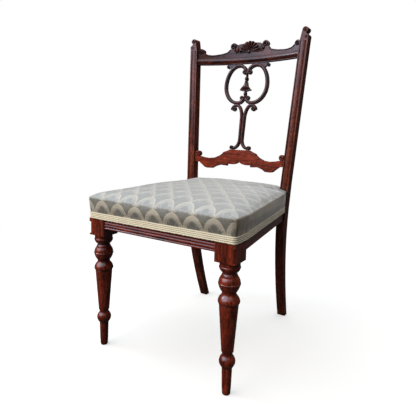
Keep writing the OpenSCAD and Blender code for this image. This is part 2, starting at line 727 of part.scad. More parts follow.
// Drawn from the rail's face: the tip lies screw_bite behind it, along -z, and the head comes last
module screw(grow) {
    translate([0, 0, -screw_bite - grow]) cylinder(h = screw_l + grow, r = screw_r + grow, $fn = round_fn);
    translate([0, 0, screw_l - screw_bite - screw_head_h])
        cylinder(h = screw_head_h + (grow > 0 ? brace_reach : 0), r = screw_head_r + grow, $fn = round_fn);
}
screw_z = brace_z + brace_h / 2;
module brace_screw_front_a(grow) {
    translate([block_in_x - screw_share * brace_reach, front_rail_in_y, screw_z])
        rotate([-90, 0, 0]) screw(grow);
}
module brace_screw_front_b(grow) {
    along_side() translate([screw_share * brace_reach, rail_t, screw_z]) rotate([-90, 0, 0]) screw(grow);
}
module brace_screw_rear_a(grow) {
    translate([rear_brace_x - screw_share * brace_reach, rear_rail_in_y, screw_z])
        rotate([90, 0, 0]) screw(grow);
}
module brace_screw_rear_b(grow) {
    along_side() translate([side_len - screw_share * brace_reach, rail_t, screw_z])
        rotate([-90, 0, 0]) screw(grow);
}
module front_brace() {
    difference() {
        translate([0, 0, brace_z]) linear_extrude(brace_h) front_brace_outline();
        brace_screw_front_a(fit_gap);
        brace_screw_front_b(fit_gap);
    }
}
module rear_brace() {
    difference() {
        translate([0, 0, brace_z]) linear_extrude(brace_h) rear_brace_outline();
        brace_screw_rear_a(fit_gap);
        brace_screw_rear_b(fit_gap);
    }
}
module corner_block_front_left() { color(beech) mirror_if(-1) front_brace(); }
module corner_block_front_right() { color(beech) front_brace(); }
module corner_block_rear_left() { color(beech) mirror_if(-1) rear_brace(); }
module corner_block_rear_right() { color(beech) rear_brace(); }
module corner_block_screws() {
    color("#8a8378") both_sides() {
        brace_screw_front_a(0);
        brace_screw_front_b(0);
        brace_screw_rear_a(0);
        brace_screw_rear_b(0);
    }
}

/* Webbing, hessian and tacks */
lengthwise_straps = 4;
crosswise_straps = 4;
// Straps stop this far inside the outer faces of the rails
strap_inset = 6;
// Where the outermost straps run, as shares of the half width and of the depth of the open frame
lengthwise_spread_share = 0.8;
crosswise_spread_share = 0.78;
mid_y = (front_face_y + rear_face_y) / 2;
open_d = rear_rail_in_y - front_rail_in_y;
function strap_x(i) = lerp(-1, 1, i / (lengthwise_straps - 1)) * lengthwise_spread_share
    * (post_in_x(rail_top) - strap_w / 2);
function strap_y(j) = mid_y + lerp(-1, 1, j / (crosswise_straps - 1)) * crosswise_spread_share
    * (open_d - strap_w) / 2;
function side_out_x(y) = y < block_back_y ? front_w / 2 : front_w / 2 - (y - block_back_y) * tan(side_angle);
ramp = 4;

// Side outline of a strap that passes over or under others: crossings is a list of [place, level]
function strap_line(start, end, crossings) = concat([[start, 0], [start + 2 * tack_row, 0]],
    [for (c = crossings) each [[c[0] - strap_w / 2 - ramp, c[1]], [c[0] + strap_w / 2 + ramp, c[1]]]],
    [[end - 2 * tack_row, 0], [end, 0]]);
function strap_outline(line) = concat([for (p = line) [p[0], rail_top + p[1] * (strap_t + lay_gap)]],
    [for (i = [len(line) - 1 : -1 : 0]) [line[i][0], rail_top + line[i][1] * (strap_t + lay_gap) + strap_t]]);
module seat_webbing_lengthwise() {
    color("#a08a63") difference() {
        for (i = [0 : lengthwise_straps - 1])
            translate([strap_x(i) - strap_w / 2, 0, 0]) rotate([90, 0, 90]) linear_extrude(strap_w)
                polygon(strap_outline(strap_line(front_face_y + strap_inset, rear_face_y - strap_inset,
                    [for (j = [0 : crosswise_straps - 1]) [strap_y(j), (i + j) % 2]])));
        front_tack_places() tack_hole();
        rear_tack_places() tack_hole();
    }
}
module seat_webbing_crosswise() {
    color("#a08a63") difference() {
        for (j = [0 : crosswise_straps - 1]) {
            reach = side_out_x(strap_y(j) + strap_w / 2) - strap_inset;
            translate([0, strap_y(j) - strap_w / 2, 0]) upright(strap_w)
                polygon(strap_outline(strap_line(-reach, reach,
                    [for (i = [0 : lengthwise_straps - 1]) [strap_x(i), 1 - (i + j) % 2]])));
        }
        both_sides() side_tack_places() tack_hole();
    }
}
tacks_per_end = 3;
tack_spread_share = 0.6;
tack_shank_share = 0.3;
tack_head_h = tack_head_r / 3;
tack_shank_r = tack_shank_share * tack_head_r;
tack_fn = 24;
// A tack with the underside of its head at the origin, driven along -z
module tack() {
    cylinder(h = tack_head_h, r = tack_head_r, $fn = tack_fn);
    translate([0, 0, -tack_l]) cylinder(h = tack_l, r = tack_shank_r, $fn = tack_fn);
}
module tack_hole() {
    translate([0, 0, -tack_l - fit_gap])
        cylinder(h = tack_l + overrun, r = tack_shank_r + fit_gap, $fn = tack_fn);
}
// Where a strap's tacks go in, behind the end of the strap
tack_row = 8;
tack_z = rail_top + strap_t;
tack_steps = [for (k = [0 : tacks_per_end - 1])
    lerp(-1, 1, k / (tacks_per_end - 1)) * tack_spread_share * strap_w / 2];
module front_tack_places() {
    for (i = [0 : lengthwise_straps - 1], along = tack_steps)
        translate([strap_x(i) + along, front_face_y + strap_inset + tack_row, tack_z]) children();
}
module rear_tack_places() {
    for (i = [0 : lengthwise_straps - 1], along = tack_steps)
        translate([strap_x(i) + along, rear_face_y - strap_inset - tack_row, tack_z]) children();
}
module side_tack_places() {
    for (j = [0 : crosswise_straps - 1], along = tack_steps)
        translate([side_out_x(strap_y(j) + strap_w / 2) - strap_inset - tack_row, strap_y(j) + along, tack_z])
            children();
}
module webbing_tacks() {
    color("#3c3a38") {
        front_tack_places() tack();
        rear_tack_places() tack();
        both_sides() side_tack_places() tack();
    }
}

/* Upholstery: one outline in plan, grown outward or inward, carries the cover, stuffing, hessian and braid */
// Clearance between the upholstery and a back post
post_gap = 0.3;
// The same in front of a post, where the cover runs straight past the knee
post_front_gap = 1.2;
// Clearance between the stuffing and the cover
stuffing_gap = 0.5;
// The cover's cut-outs round the posts start this far inside its skirt
notch_in = 0.1;
rear_edge_rise = 13;
front_points = 4;
corner_points = 4;
side_points = 5;
SKIRT = 0;
NOTCH = 1;
REAR = 2;
side_normal = [cos(side_angle), sin(side_angle)];
wall_in = lay_gap + cover_t;
// The cover's bulge dies out over this length before a back post
rear_corner_r = 9;
// Last points of a side: shares of that length before the post, of the bulge and of the rear edge's rise
side_end_shares = [[1, 1, 0.15], [0.4, 0.8, 0.3], [0, 0.4, 0.4]];
// Rises round a post, and shares of the half width and of the rise across the back
notch_rise_shares = [0.5, 0.75, 1];
rear_shares = [[1, 1], [0.75, 1.25], [0.4, 1.5], [0, 1.6]];
rear_bulge_share = 0.6;
function side_place(y) = [side_out_x(y), y];

// Right half of the outline at the faces of the frame, from the front's middle to the rear's middle. Each
// point has its place, the way it grows, its share of the bulge, whether it follows the leaning post in x and
// in y, its kind, and its share of the rear edge's rise.
function half_outline() =
    let (in_x = post_in_x(knee_z) - post_gap, notch_y = knee_y - post_front_gap,
        bend = side_place(block_back_y), side_end = side_place(notch_y - rear_corner_r),
        notch_corner = side_place(notch_y) - notch_in * side_normal,
        notch_mid = [(in_x + notch_corner[0]) / 2, notch_y])
    concat(
        [for (i = [0 : front_points - 1])
            [[(front_w / 2 - corner_r) * i / front_points, front_face_y],
            [0, -1], 1, false, false, SKIRT, 0]],
        [for (i = [0 : corner_points])
            let (w = quarter_turn * (i / corner_points - 1), n = [cos(w), sin(w)])
            [[front_w / 2 - corner_r, front_face_y + corner_r] + corner_r * n, n, 1, false, false, SKIRT, 0]],
        [[bend, [1, 0], 1, false, false, SKIRT, 0]],
        [for (i = [1 : side_points - 1])
            [lerp(bend, side_end, i / side_points), side_normal, 1, false, false, SKIRT, 0]],
        [for (s = side_end_shares)
            [side_place(notch_y - rear_corner_r * s[0]), side_normal, s[1], false, s[0] == 0, SKIRT, s[2]]],
        [[notch_corner, side_normal, 0, false, true, NOTCH, notch_rise_shares[0]],
            [notch_mid, [0, 0], 0, false, true, NOTCH, notch_rise_shares[1]],
            [[in_x, notch_y], [0, 0], 0, true, true, NOTCH, notch_rise_shares[2]],
            [[in_x, (notch_y + rear_face_y) / 2], [0, 0], 0, true, false, NOTCH, notch_rise_shares[2]],
            [[in_x, rear_face_y - notch_in], [0, 1], 0, true, false, NOTCH, notch_rise_shares[2]]],
        [for (s = rear_shares)
            [[in_x * s[0], rear_face_y], [0, 1], rear_bulge_share, s[0] == 1, false, REAR, s[1]]]);
function full_outline() = let (h = half_outline(), n = len(h))
    concat(h,
        [for (i = [n - 2 : -1 : 1]) let (p = h[i])
            [[-p[0][0], p[0][1]], [-p[1][0], p[1][1]], p[2], p[3], p[4], p[5], p[6]]]);
outline = full_outline();
count = len(outline);

// Lowest edge of the cover at a point: below the braid's top on the frame's faces, above the rails at a post
function low_z(p) = p[5] == NOTCH ? rail_top + 2 * lay_gap : gimp_z + lay_gap;
function high_z(p) = edge_z + p[6] * rear_edge_rise;
// Place of a point at a height, a distance out from the frame; inset draws in what follows a post
function plan_out(p, z, out, inset) = [
    p[3] ? sign(p[0][0]) * (post_in_x(z) - post_gap - inset) : p[0][0] + p[1][0] * out,
    p[4] ? front_y(z) - post_front_gap - inset : p[0][1] + p[1][1] * out];
// Place of a point of the cover that has grown outward by grow, or of what lies inset behind it
function plan_at(p, z, grow, inset) =
    plan_out(p, z, wall_in + (grow - wall_in) * p[2] - inset, inset);
// Wall of the cover: shares of the way from its lowest to its highest edge, and shares of the bulge
gimp_share = gimp_w / (edge_z - gimp_z);
wall_shares = [[0, 0], [gimp_share, 0], [0.55, 0.62], [0.8, 1], [0.93, 0.93], [1, 0.6]];
// Crown: shares of the way from the middle out to the edge, and of the rise above the edge
crown_shares = [[0.955, 0.25], [0.9, 0.4], [0.8, 0.57], [0.64, 0.76], [0.44, 0.9], [0.22, 0.98]];
// Toward the middle the rings turn from the seat's outline into an oval, of these shares of its half sizes
oval_shares = [0.98, 0.98];
oval_power = 1.5;
// The top of the crown lies this far in front of the seat's middle
crown_shift = 10;
crown_centre = [0, (front_face_y + rear_face_y) / 2 - crown_shift];
top_z = edge_z + crown_h;

function wall_grow(k) = lerp(wall_in, cover_bulge, wall_shares[k][1]);
top_grow = wall_grow(len(wall_shares) - 1);
function wall_ring(k, inset) = [for (p = outline)
    let (z = lerp(low_z(p), high_z(p), wall_shares[k][0]), q = plan_at(p, z, wall_grow(k), inset))
    [q[0], q[1], z]];
oval_a = oval_shares[0] * seat_rear_w / 2;
oval_b = oval_shares[1] * (rear_face_y - front_face_y) / 2;
function crown_ring(share, inset) = [for (p = outline)
    let (edge = high_z(p), q = plan_at(p, edge, top_grow, inset) - crown_centre,
        oval = 1 / norm([q[0] / oval_a, q[1] / oval_b]),
        c = crown_centre + q * share[0] * lerp(oval, 1, pow(share[0], oval_power)))
    [c[0], c[1], lerp(edge, top_z, share[1]) - inset]];
function rings(inset) = concat([for (k = [0 : len(wall_shares) - 1]) wall_ring(k, inset)],
    [for (s = crown_shares) crown_ring(s, inset)]);
function apex(inset) = [crown_centre[0], crown_centre[1], top_z - inset];
function flat(lists) = [for (l = lists) each l];
// Triangles between ring a and ring b of the point list, outward when b lies above a
function strip(a, b, n) = [for (i = [0 : n - 1]) let (j = (i + 1) % n)
    each [[a * n + i, b * n + i, b * n + j], [a * n + i, b * n + j, a * n + j]]];
function flipped(faces) = [for (f = faces) [f[2], f[1], f[0]]];
function shifted(faces, by) = [for (f = faces) [f[0] + by, f[1] + by, f[2] + by]];
function fan(a, n, tip) = [for (i = [0 : n - 1]) [a * n + i, tip, a * n + (i + 1) % n]];

ring_count = len(wall_shares) + len(crown_shares);
function skin_faces() = concat([for (k = [0 : ring_count - 2]) each strip(k, k + 1, count)],
    fan(ring_count - 1, count, ring_count * count));
module seat_cover() {
    outer = concat(flat(rings(0)), [apex(0)]);
    inner = concat(flat(rings(cover_t)), [apex(cover_t)]);
    size = len(outer);
    rim = [for (i = [0 : count - 1]) let (j = (i + 1) % count)
        each [[i, j, size + j], [i, size + j, size + i]]];
    color("#8d9490") polyhedron(concat(outer, inner),
        concat(skin_faces(), shifted(flipped(skin_faces()), size), rim));
}
// The stuffing fills the cover from the hessian up
stuffing_z = rail_top + 2 * strap_t + 5 * lay_gap + 0.5 * strap_t;
// The stuffing's wall takes up the cover's rings from this one on
first_stuffing_ring = 3;
module seat_stuffing() {
    inset = cover_t + stuffing_gap;
    all_rings = rings(inset);
    base = [for (i = [0 : count - 1]) let (p = outline[i],
        q = plan_at(p, stuffing_z, wall_in, inset)) [q[0], q[1], stuffing_z]];
    kept = [for (k = [first_stuffing_ring : ring_count - 1]) all_rings[k]];
    n_rings = len(kept) + 1;
    points = concat(base, flat(kept), [apex(inset)], [[crown_centre[0], crown_centre[1], stuffing_z]]);
    faces = concat([for (k = [0 : n_rings - 2]) each strip(k, k + 1, count)],
        fan(n_rings - 1, count, n_rings * count), flipped(fan(0, count, n_rings * count + 1)));
    color("#c9b58c") polyhedron(points, faces);
}
hessian_z = rail_top + 2 * strap_t + 3 * lay_gap;
hessian_t = strap_t / 2;
hessian_inset = 5;
module base_hessian() {
    color("#b39a6b") translate([0, 0, hessian_z]) linear_extrude(hessian_t - lay_gap)
        polygon([for (p = outline) plan_at(p, hessian_z, wall_in, hessian_inset)]);
}
// Braid: a band round the front and sides, and another across the back
gimp_in = wall_in + lay_gap;
function braid_points(indices, out) = [for (i = indices) plan_out(outline[i], gimp_z, out, 0)];
skirt_end = front_points + corner_points + 1 + side_points + 2;
module gimp_braid() {
    around = concat([for (i = [count - skirt_end : count - 1]) i], [for (i = [0 : skirt_end]) i]);
    behind = [for (i = [0 : count - 1]) if (outline[i][5] == REAR) i];
    color("#e6dcc2") translate([0, 0, gimp_z]) linear_extrude(gimp_w) for (run = [around, behind])
        polygon(concat(braid_points(run, gimp_in + gimp_t),
            [for (i = [len(run) - 1 : -1 : 0]) braid_points(run, gimp_in)[i]]));
}

front_leg_left();
front_leg_right();
rear_post_left();
rear_post_right();
front_seat_rail();
left_seat_rail();
right_seat_rail();
rear_seat_rail();
crest_rail();
lower_back_rail();
back_splat();
front_rail_dowels();
side_rail_front_dowels();
side_rail_rear_dowels();
rear_rail_dowels();
crest_rail_dowels();
lower_back_rail_dowels();
splat_dowels();
corner_block_front_left();
corner_block_front_right();
corner_block_rear_left();
corner_block_rear_right();
corner_block_screws();
seat_webbing_lengthwise();
seat_webbing_crosswise();
webbing_tacks();
base_hessian();
seat_stuffing();
seat_cover();
gimp_braid();
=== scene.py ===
# %% [markdown]
# A carved mahogany side chair with a stuffed-over seat
#
# The solids of this chair come finished from its CAD model: legs, posts, rails, splat, dowels, webbing and
# upholstery, each at its true size. Blender never moves or resizes them. What it adds is what a saw and a
# lathe don't give: carving, polish, woven cloth, braid and light.
#
# The first cell loads that fixed model. Every later cell works in metres in the same frame: X to the right,
# Y to the back, Z up, with the chair facing -Y and its feet on Z = 0.

# %% Load the fixed model
import math

import bmesh
import bpy
import numpy as np
from mathutils import Matrix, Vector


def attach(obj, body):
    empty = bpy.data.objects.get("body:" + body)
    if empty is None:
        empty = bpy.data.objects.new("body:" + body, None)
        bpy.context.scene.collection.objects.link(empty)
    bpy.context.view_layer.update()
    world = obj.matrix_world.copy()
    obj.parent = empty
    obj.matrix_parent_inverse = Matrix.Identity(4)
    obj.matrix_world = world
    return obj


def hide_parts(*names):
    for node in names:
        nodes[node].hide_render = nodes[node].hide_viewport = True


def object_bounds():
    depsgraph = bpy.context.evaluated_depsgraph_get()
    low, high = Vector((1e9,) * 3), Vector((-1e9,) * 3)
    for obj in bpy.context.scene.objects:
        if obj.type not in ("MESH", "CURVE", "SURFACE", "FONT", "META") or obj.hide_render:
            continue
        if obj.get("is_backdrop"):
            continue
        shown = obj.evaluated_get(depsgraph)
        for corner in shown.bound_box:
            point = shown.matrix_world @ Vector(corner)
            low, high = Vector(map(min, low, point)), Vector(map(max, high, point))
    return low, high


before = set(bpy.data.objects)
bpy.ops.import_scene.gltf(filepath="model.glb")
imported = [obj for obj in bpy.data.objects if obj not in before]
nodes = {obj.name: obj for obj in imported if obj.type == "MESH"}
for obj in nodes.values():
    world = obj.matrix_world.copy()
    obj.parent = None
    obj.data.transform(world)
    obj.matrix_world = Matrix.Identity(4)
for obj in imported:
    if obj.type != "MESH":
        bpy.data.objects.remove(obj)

cad_low, cad_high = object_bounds()
print("CAD box:", [round(v, 4) for v in cad_low], [round(v, 4) for v in cad_high])
print("CAD nodes:", len(nodes))

MM = 0.001

# %% [markdown]
# The camera
#
# The photograph was taken from the chair's right front, a little above the seat. The camera's place, its
# three angles and its focal length come from fitting the chair's corners to the picture, so the render and
# the photograph can be laid over each other. The lens is shifted a little, because the picture is a crop.

# %% Camera
PICTURE, SENSOR_MM = 416.0, 36.0
YAW, PITCH, ROLL = (math.radians(a) for a in (31.952, 6.483, 1.307))
FOCAL_PX, CENTRE_PX, CAMERA_AT = 406.10, (202.95, 175.79), (0.59935, -0.99146, 0.59999)


def with_axes(side, up, back, at):
    """A matrix whose columns are an object's own X, Y and Z directions and its place."""
    columns = np.eye(4)
    columns[:3] = np.stack([side, up, back, at], axis=1)
    return Matrix(columns.tolist())


ahead = np.array([-math.sin(YAW) * math.cos(PITCH), math.cos(YAW) * math.cos(PITCH), -math.sin(PITCH)])
level = np.array([math.cos(YAW), math.sin(YAW), 0.0])
above = np.cross(level, ahead)

camera = bpy.data.objects.new("camera", bpy.data.cameras.new("camera"))
bpy.context.scene.collection.objects.link(camera)
bpy.context.scene.camera = camera
lens = camera.data
lens.sensor_width = SENSOR_MM
lens.lens = FOCAL_PX * SENSOR_MM / PICTURE
lens.shift_x = (PICTURE / 2 - CENTRE_PX[0]) / PICTURE
lens.shift_y = (CENTRE_PX[1] - PICTURE / 2) / PICTURE
camera.matrix_world = with_axes(level * math.cos(ROLL) + above * math.sin(ROLL),
                                above * math.cos(ROLL) - level * math.sin(ROLL), -ahead, CAMERA_AT)
print("lens", round(lens.lens, 2), "mm, shift", round(lens.shift_x, 4), round(lens.shift_y, 4))

# %% [markdown]
# Materials
#
# Every finish here is a small graph of shader nodes. Three helpers are enough for all of them: one turns an
# sRGB hex code, as a painter's chart gives it, into the linear numbers that a shader wants, one adds a node
# with its settings, its input values and its links, and one starts an empty material. Sockets go by name or
# by number: a Mix node of colours has its factor on socket 0 and its two colours on sockets 6 and 7.

# %% Helpers for materials
def linear(code):
    """sRGB hex code to linear RGBA: each channel c is c/12.92 below 0.04045, else ((c + 0.055)/1.055)^2.4."""
    c = np.array([int(code[i:i + 2], 16) / 255 for i in (1, 3, 5)])
    rgb = np.where(c <= 0.04045, c / 12.92, ((c + 0.055) / 1.055) ** 2.4)
    return (*rgb.tolist(), 1.0)


def add(tree, kind, links=None, values=None, **settings):
    """Adds one node to a tree: settings are its own properties, values fill its sockets, links join sockets.

    kind is the node's type without the words ShaderNode. A link from a whole node means its first output in
    use: a Mix or Vector Math node shows only the ones that its own settings call for."""
    made = tree.nodes.new("ShaderNode" + kind)
    for key, value in settings.items():
        setattr(made, key, value)
    for key, value in (values or {}).items():
        made.inputs[key].default_value = value
    for key, source in (links or {}).items():
        if isinstance(source, bpy.types.Node):
            source = next(output for output in source.outputs if output.enabled)
        tree.links.new(source, made.inputs[key])
    return made


def new_material(name):
    """An empty node material with its output, ready for a surface."""
    material = bpy.data.materials.new(name)
    material.use_nodes = True
    material.node_tree.nodes.clear()
    end = add(material.node_tree, "OutputMaterial")
    return material, material.node_tree, end.inputs["Surface"]


print("lit mahogany as linear:", [round(v, 3) for v in linear("#6b3a2e")])

# %% [markdown]
# Floor and light
#
# A cut-out photograph has no room in it. Here the chair stands on a pale plain floor in a soft studio. To
# the camera the floor is a diffuse white that keeps the chair's shadow, and it fades into the white of the
# background with distance, so no horizon line crosses the picture. To all other rays it is nearly black,
# because a pale floor would lie over the dark polish as a grey veil from below.
#
# The world is white to the camera as well. As a light it is a sky that is bright and slightly blue high up
# and dark at the horizon, for the same reason. Three soft lamps add the warm front light and the cool side
# light that the photograph shows.

# %% Floor
# Gloss sees the white background at this share of its strength. The chair has no bright metal or glass, which
# alone would need more of it
GLOSSY_SHARE = 0.02
FLOOR_HALF, FLOOR_SEEN, FLOOR_AS_LIGHT = 9, "#f6f2ea", "#2a2826"


def seen_as_white(tree):
    """The rays of a tree, and the share at which they see the white background: 1 for camera and transmission
    rays, GLOSSY_SHARE for gloss and 0 for the rest."""
    ray = add(tree, "LightPath")
    seen = add(tree, "Math", {0: ray.outputs["Is Camera Ray"], 1: ray.outputs["Is Transmission Ray"]},
               operation="MAXIMUM")
    return ray, add(tree, "Math", {0: ray.outputs["Is Glossy Ray"], 2: seen}, {1: GLOSSY_SHARE},
                    operation="MULTIPLY_ADD")


floor_mesh = bpy.data.meshes.new("floor")
floor_mesh.from_pydata([(x * FLOOR_HALF, y * FLOOR_HALF, 0) for x, y in ((-1, -1), (1, -1), (1, 1), (-1, 1))],
                       [], [(0, 1, 2, 3)])
floor = bpy.data.objects.new("floor", floor_mesh)
bpy.context.scene.collection.objects.link(floor)
floor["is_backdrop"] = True

pale_floor, tree, surface = new_material("pale_floor")
spot = add(tree, "TexCoord")
far = add(tree, "VectorMath", {0: spot.outputs["Object"]}, operation="LENGTH")
fade = add(tree, "MapRange", {"Value": far},
           {"From Min": 0.35, "From Max": 1.6, "To Min": 0.5, "To Max": 1.0}, interpolation_type="SMOOTHSTEP")
ray, seen = seen_as_white(tree)
share = add(tree, "Math", {0: seen, 1: fade}, operation="MULTIPLY")
ground = add(tree, "Mix", {0: ray.outputs["Is Camera Ray"]},
             {6: linear(FLOOR_AS_LIGHT), 7: linear(FLOOR_SEEN)}, data_type="RGBA")
matt = add(tree, "BsdfDiffuse", {"Color": ground})
white = add(tree, "Emission", values={"Color": (1, 1, 1, 1), "Strength": 1.0})
both = add(tree, "MixShader", {0: share, 1: matt, 2: white})
tree.links.new(both.outputs[0], surface)
floor_mesh.materials.append(pale_floor)
print("floor:", 2 * FLOOR_HALF, "m square,", len(tree.nodes), "nodes in its material")

# %% World and lamps
# The bright part of the sky lies overhead, a little toward the chair's left front
SKY_TOWARD, SKY_AT_HORIZON, SKY_OVERHEAD = (-0.25, -0.2, 0.95), (0.038, 0.03, 0.024, 1), (1.72, 1.82, 2.0, 1)
# Gloss sees this sky weaker, so that the dark wood keeps its colour under the polish, and beside it a bluish
# pane at the left front, which gives the turned balls their lights
SKY_IN_GLOSS, PANE_TOWARD, PANE_LIGHT = (0.62, 0.58, 0.56), (-0.472, -0.604, 0.643), (2.4, 2.9, 3.7, 1)
world = bpy.data.worlds.new("studio")
bpy.context.scene.world = world
world.use_nodes = True
tree = world.node_tree
tree.nodes.clear()
sky_place = add(tree, "TexCoord")
height = add(tree, "VectorMath", {0: sky_place.outputs["Generated"]}, {1: SKY_TOWARD},
             operation="DOT_PRODUCT")
sky = add(tree, "MapRange", {"Value": height}, {"From Min": 0.35, "From Max": 0.85},
          interpolation_type="SMOOTHSTEP")
tint = add(tree, "Mix", {0: sky}, {6: SKY_AT_HORIZON, 7: SKY_OVERHEAD}, data_type="RGBA")
pane = add(tree, "VectorMath", {0: sky_place.outputs["Generated"]}, {1: PANE_TOWARD}, operation="DOT_PRODUCT")
pane = add(tree, "MapRange", {"Value": pane}, {"From Min": 0.82, "From Max": 0.95},
           interpolation_type="SMOOTHSTEP")
weaker = add(tree, "VectorMath", {0: tint}, {1: SKY_IN_GLOSS}, operation="MULTIPLY")
gloss_sees = add(tree, "Mix", {0: pane, 6: weaker}, {7: PANE_LIGHT}, data_type="RGBA")
ray, seen = seen_as_white(tree)
tint = add(tree, "Mix", {0: ray.outputs["Is Glossy Ray"], 6: tint, 7: gloss_sees}, data_type="RGBA")
behind = add(tree, "Mix", {0: seen, 6: tint}, {7: (1, 1, 1, 1)}, data_type="RGBA")
light = add(tree, "Background", {"Color": behind}, {"Strength": 1.0})
tree.links.new(light.outputs[0], add(tree, "OutputWorld").inputs["Surface"])


def lamp(name, watts, size, colour, azimuth, elevation, distance, mirrored=True, target=(0, 0, 0.45)):
    """A square area lamp at a direction and distance from a target, facing it.

    Its place is target + distance * (sin a cos e, -cos a cos e, sin e), azimuth 0 being straight in front.
    mirrored says whether gloss shows the lamp."""
    a, e = math.radians(azimuth), math.radians(elevation)
    out = np.array([math.sin(a) * math.cos(e), -math.cos(a) * math.cos(e), math.sin(e)])
    side = np.cross((0.0, 0.0, 1.0), out)
    side /= np.linalg.norm(side)
    data = bpy.data.lights.new(name, "AREA")
    data.energy, data.size, data.color = watts, size, colour
    made = bpy.data.objects.new(name, data)
    bpy.context.scene.collection.objects.link(made)
    made.matrix_world = with_axes(side, np.cross(out, side), out, np.array(target) + distance * out)
    made.visible_glossy = mirrored


# The warm window stands just where the flat front faces would mirror it to the camera, so it only lights. The
# cool one at the left puts bluish light on the turnings, and a weak one behind lights the far edges
lamp("window", 40, 2.0, (1.0, 0.94, 0.86), -28, 30, 2.6, mirrored=False)
lamp("left_window", 20, 0.8, (0.74, 0.87, 1.0), -64, 40, 2.6)
lamp("behind", 7, 1.2, (1.0, 0.95, 0.88), 140, 60, 2.4)
bpy.context.scene.view_settings.view_transform = "Standard"

# %% [markdown]
# French-polished mahogany
#
# The frame is mahogany, stained a dark red and French polished: many thin coats of shellac, rubbed level
# with oil. Three things make that look. The wood below is matt and figured, with short dark pores along the
# grain. The shellac above is clear and sharp, so it carries narrow bright highlights over the soft ones.
# And the colour carries painted shade in the hollows, where polish and dust also stay dark, and edges that
# hands have worn lighter.
#
# One function builds the finish for a grain direction, because an upright post and a cross rail are cut
# along their length. The grain is noise drawn out along that axis. The painted shade in the hollows comes
# from ambient occlusion, and worn edges from how far a softened normal turns away from the true one. The same
# softened normal rounds each sharp corner a little, as rubbing down does.

# %% Mahogany
WORN_EDGE, EDGE_ROUNDING_M, SHADE_REACH_M = "#84402c", 0.0011, 0.009


def french_polished_mahogany(name, along, dark, pale, turn=(0.0, 0.0, 0.0), polish=1.0):
    """Polished mahogany with its grain along axis 0, 1 or 2, of wood turned by the angles turn.

    Colour = figure (patches 14 mm by 90 mm) x grain (2.2 mm by 55 mm) x mottle (4 mm by 7 mm) x pores,
    darkened in hollows and lightened on edges. Real pores are 0.3 mm by 5 mm: they are drawn 1.1 mm by 10 mm,
    so that they still show from a step away. dark and pale are the board's own two tones, as no two boards
    take the stain alike, and polish is how much of the shellac the piece has kept."""
    material, tree, surface = new_material("french_polished_mahogany_" + name)
    spot = add(tree, "TexCoord")
    straight = add(tree, "Mapping", {0: spot.outputs["Object"]}, {2: turn})

    def noise(across_mm, along_mm, detail, **more):
        """Noise in which one patch is across_mm wide and along_mm long."""
        size = [1000 / across_mm] * 3
        size[along] = 1000 / along_mm
        drawn_out = add(tree, "VectorMath", {0: straight}, {1: size}, operation="MULTIPLY")
        return add(tree, "TexNoise", {"Vector": drawn_out}, {"Scale": 1.0, "Detail": detail, **more})

    figure = noise(14, 90, 5.0, Roughness=0.6, Distortion=0.8)
    figure = add(tree, "MapRange", {"Value": figure}, {"From Min": 0.32, "From Max": 0.7})
    tone = add(tree, "Mix", {0: figure}, {6: linear(dark), 7: linear(pale)}, data_type="RGBA")
    # Grain, mottle and pores: each a noise, the range of its values that counts, and the shades they give
    for layer, low, high, shade_low, shade_high in (
            (noise(2.2, 55, 3.0, Roughness=0.6, Distortion=0.2), 0.3, 0.7, 0.42, 1.3),
            (noise(4, 7, 2.0), 0.35, 0.65, 0.62, 1.22),
            (noise(1.1, 10, 2.0), 0.58, 0.7, 1.0, 0.3)):
        layer = add(tree, "MapRange", {"Value": layer},
                    {"From Min": low, "From Max": high, "To Min": shade_low, "To Max": shade_high})
        tone = add(tree, "VectorMath", {0: tone, 1: layer}, operation="MULTIPLY")
    pores = layer

    soft = add(tree, "Bevel", values={"Radius": EDGE_ROUNDING_M}, samples=6)
    sharp = add(tree, "NewGeometry")
    same = add(tree, "VectorMath", {0: soft, 1: sharp.outputs["Normal"]}, operation="DOT_PRODUCT")
    worn = add(tree, "MapRange", {"Value": same},
               {"From Min": 0.98, "From Max": 0.80, "To Min": 0.0, "To Max": 0.3})
    # Painted shade: ambient occlusion darkens the colour in hollows, to 4% in the deepest, where polish and
    # dust also stay
    hollow_shade = add(tree, "AmbientOcclusion", values={"Distance": SHADE_REACH_M}, samples=6, only_local=False)
    kept = add(tree, "MapRange", {"Value": hollow_shade.outputs["AO"]},
               {"From Min": 0.42, "From Max": 0.98, "To Min": 0.04, "To Max": 1.0})
    tone = add(tree, "Mix", {0: worn, 6: tone}, {7: linear(WORN_EDGE)}, data_type="RGBA")
    tone = add(tree, "VectorMath", {0: tone, 1: kept}, operation="MULTIPLY")

    rough = add(tree, "MapRange", {"Value": noise(60, 90, 3.0)},
                {"From Min": 0.3, "From Max": 0.7, "To Min": 0.28, "To Max": 0.46})
    relief = add(tree, "Bump", {"Height": pores, "Normal": soft}, {"Strength": 0.12, "Distance": 0.0003})
    # Wood's own index is about 1.5 and shellac's 1.52. The coat is set higher, at 1.65, because the studio
    # gives it less to reflect than the open air did: so the turnings keep the strong lights of real polish
    shader = add(tree, "BsdfPrincipled", {"Base Color": tone, "Roughness": rough, "Normal": relief},
                 {"IOR": 1.5, "Specular IOR Level": 0.15, "Coat Weight": polish, "Coat Roughness": 0.15,
                  "Coat IOR": 1.65})
    tree.links.new(shader.outputs[0], surface)
    return material


# %% Boards of mahogany
# Grain axes, and the side rails' angle: each runs inward by 44 mm over its length of 346.5 mm
UPRIGHT, ACROSS, ENDWISE = 2, 0, 1
SIDE_ANGLE = math.atan(44 / 346.5)
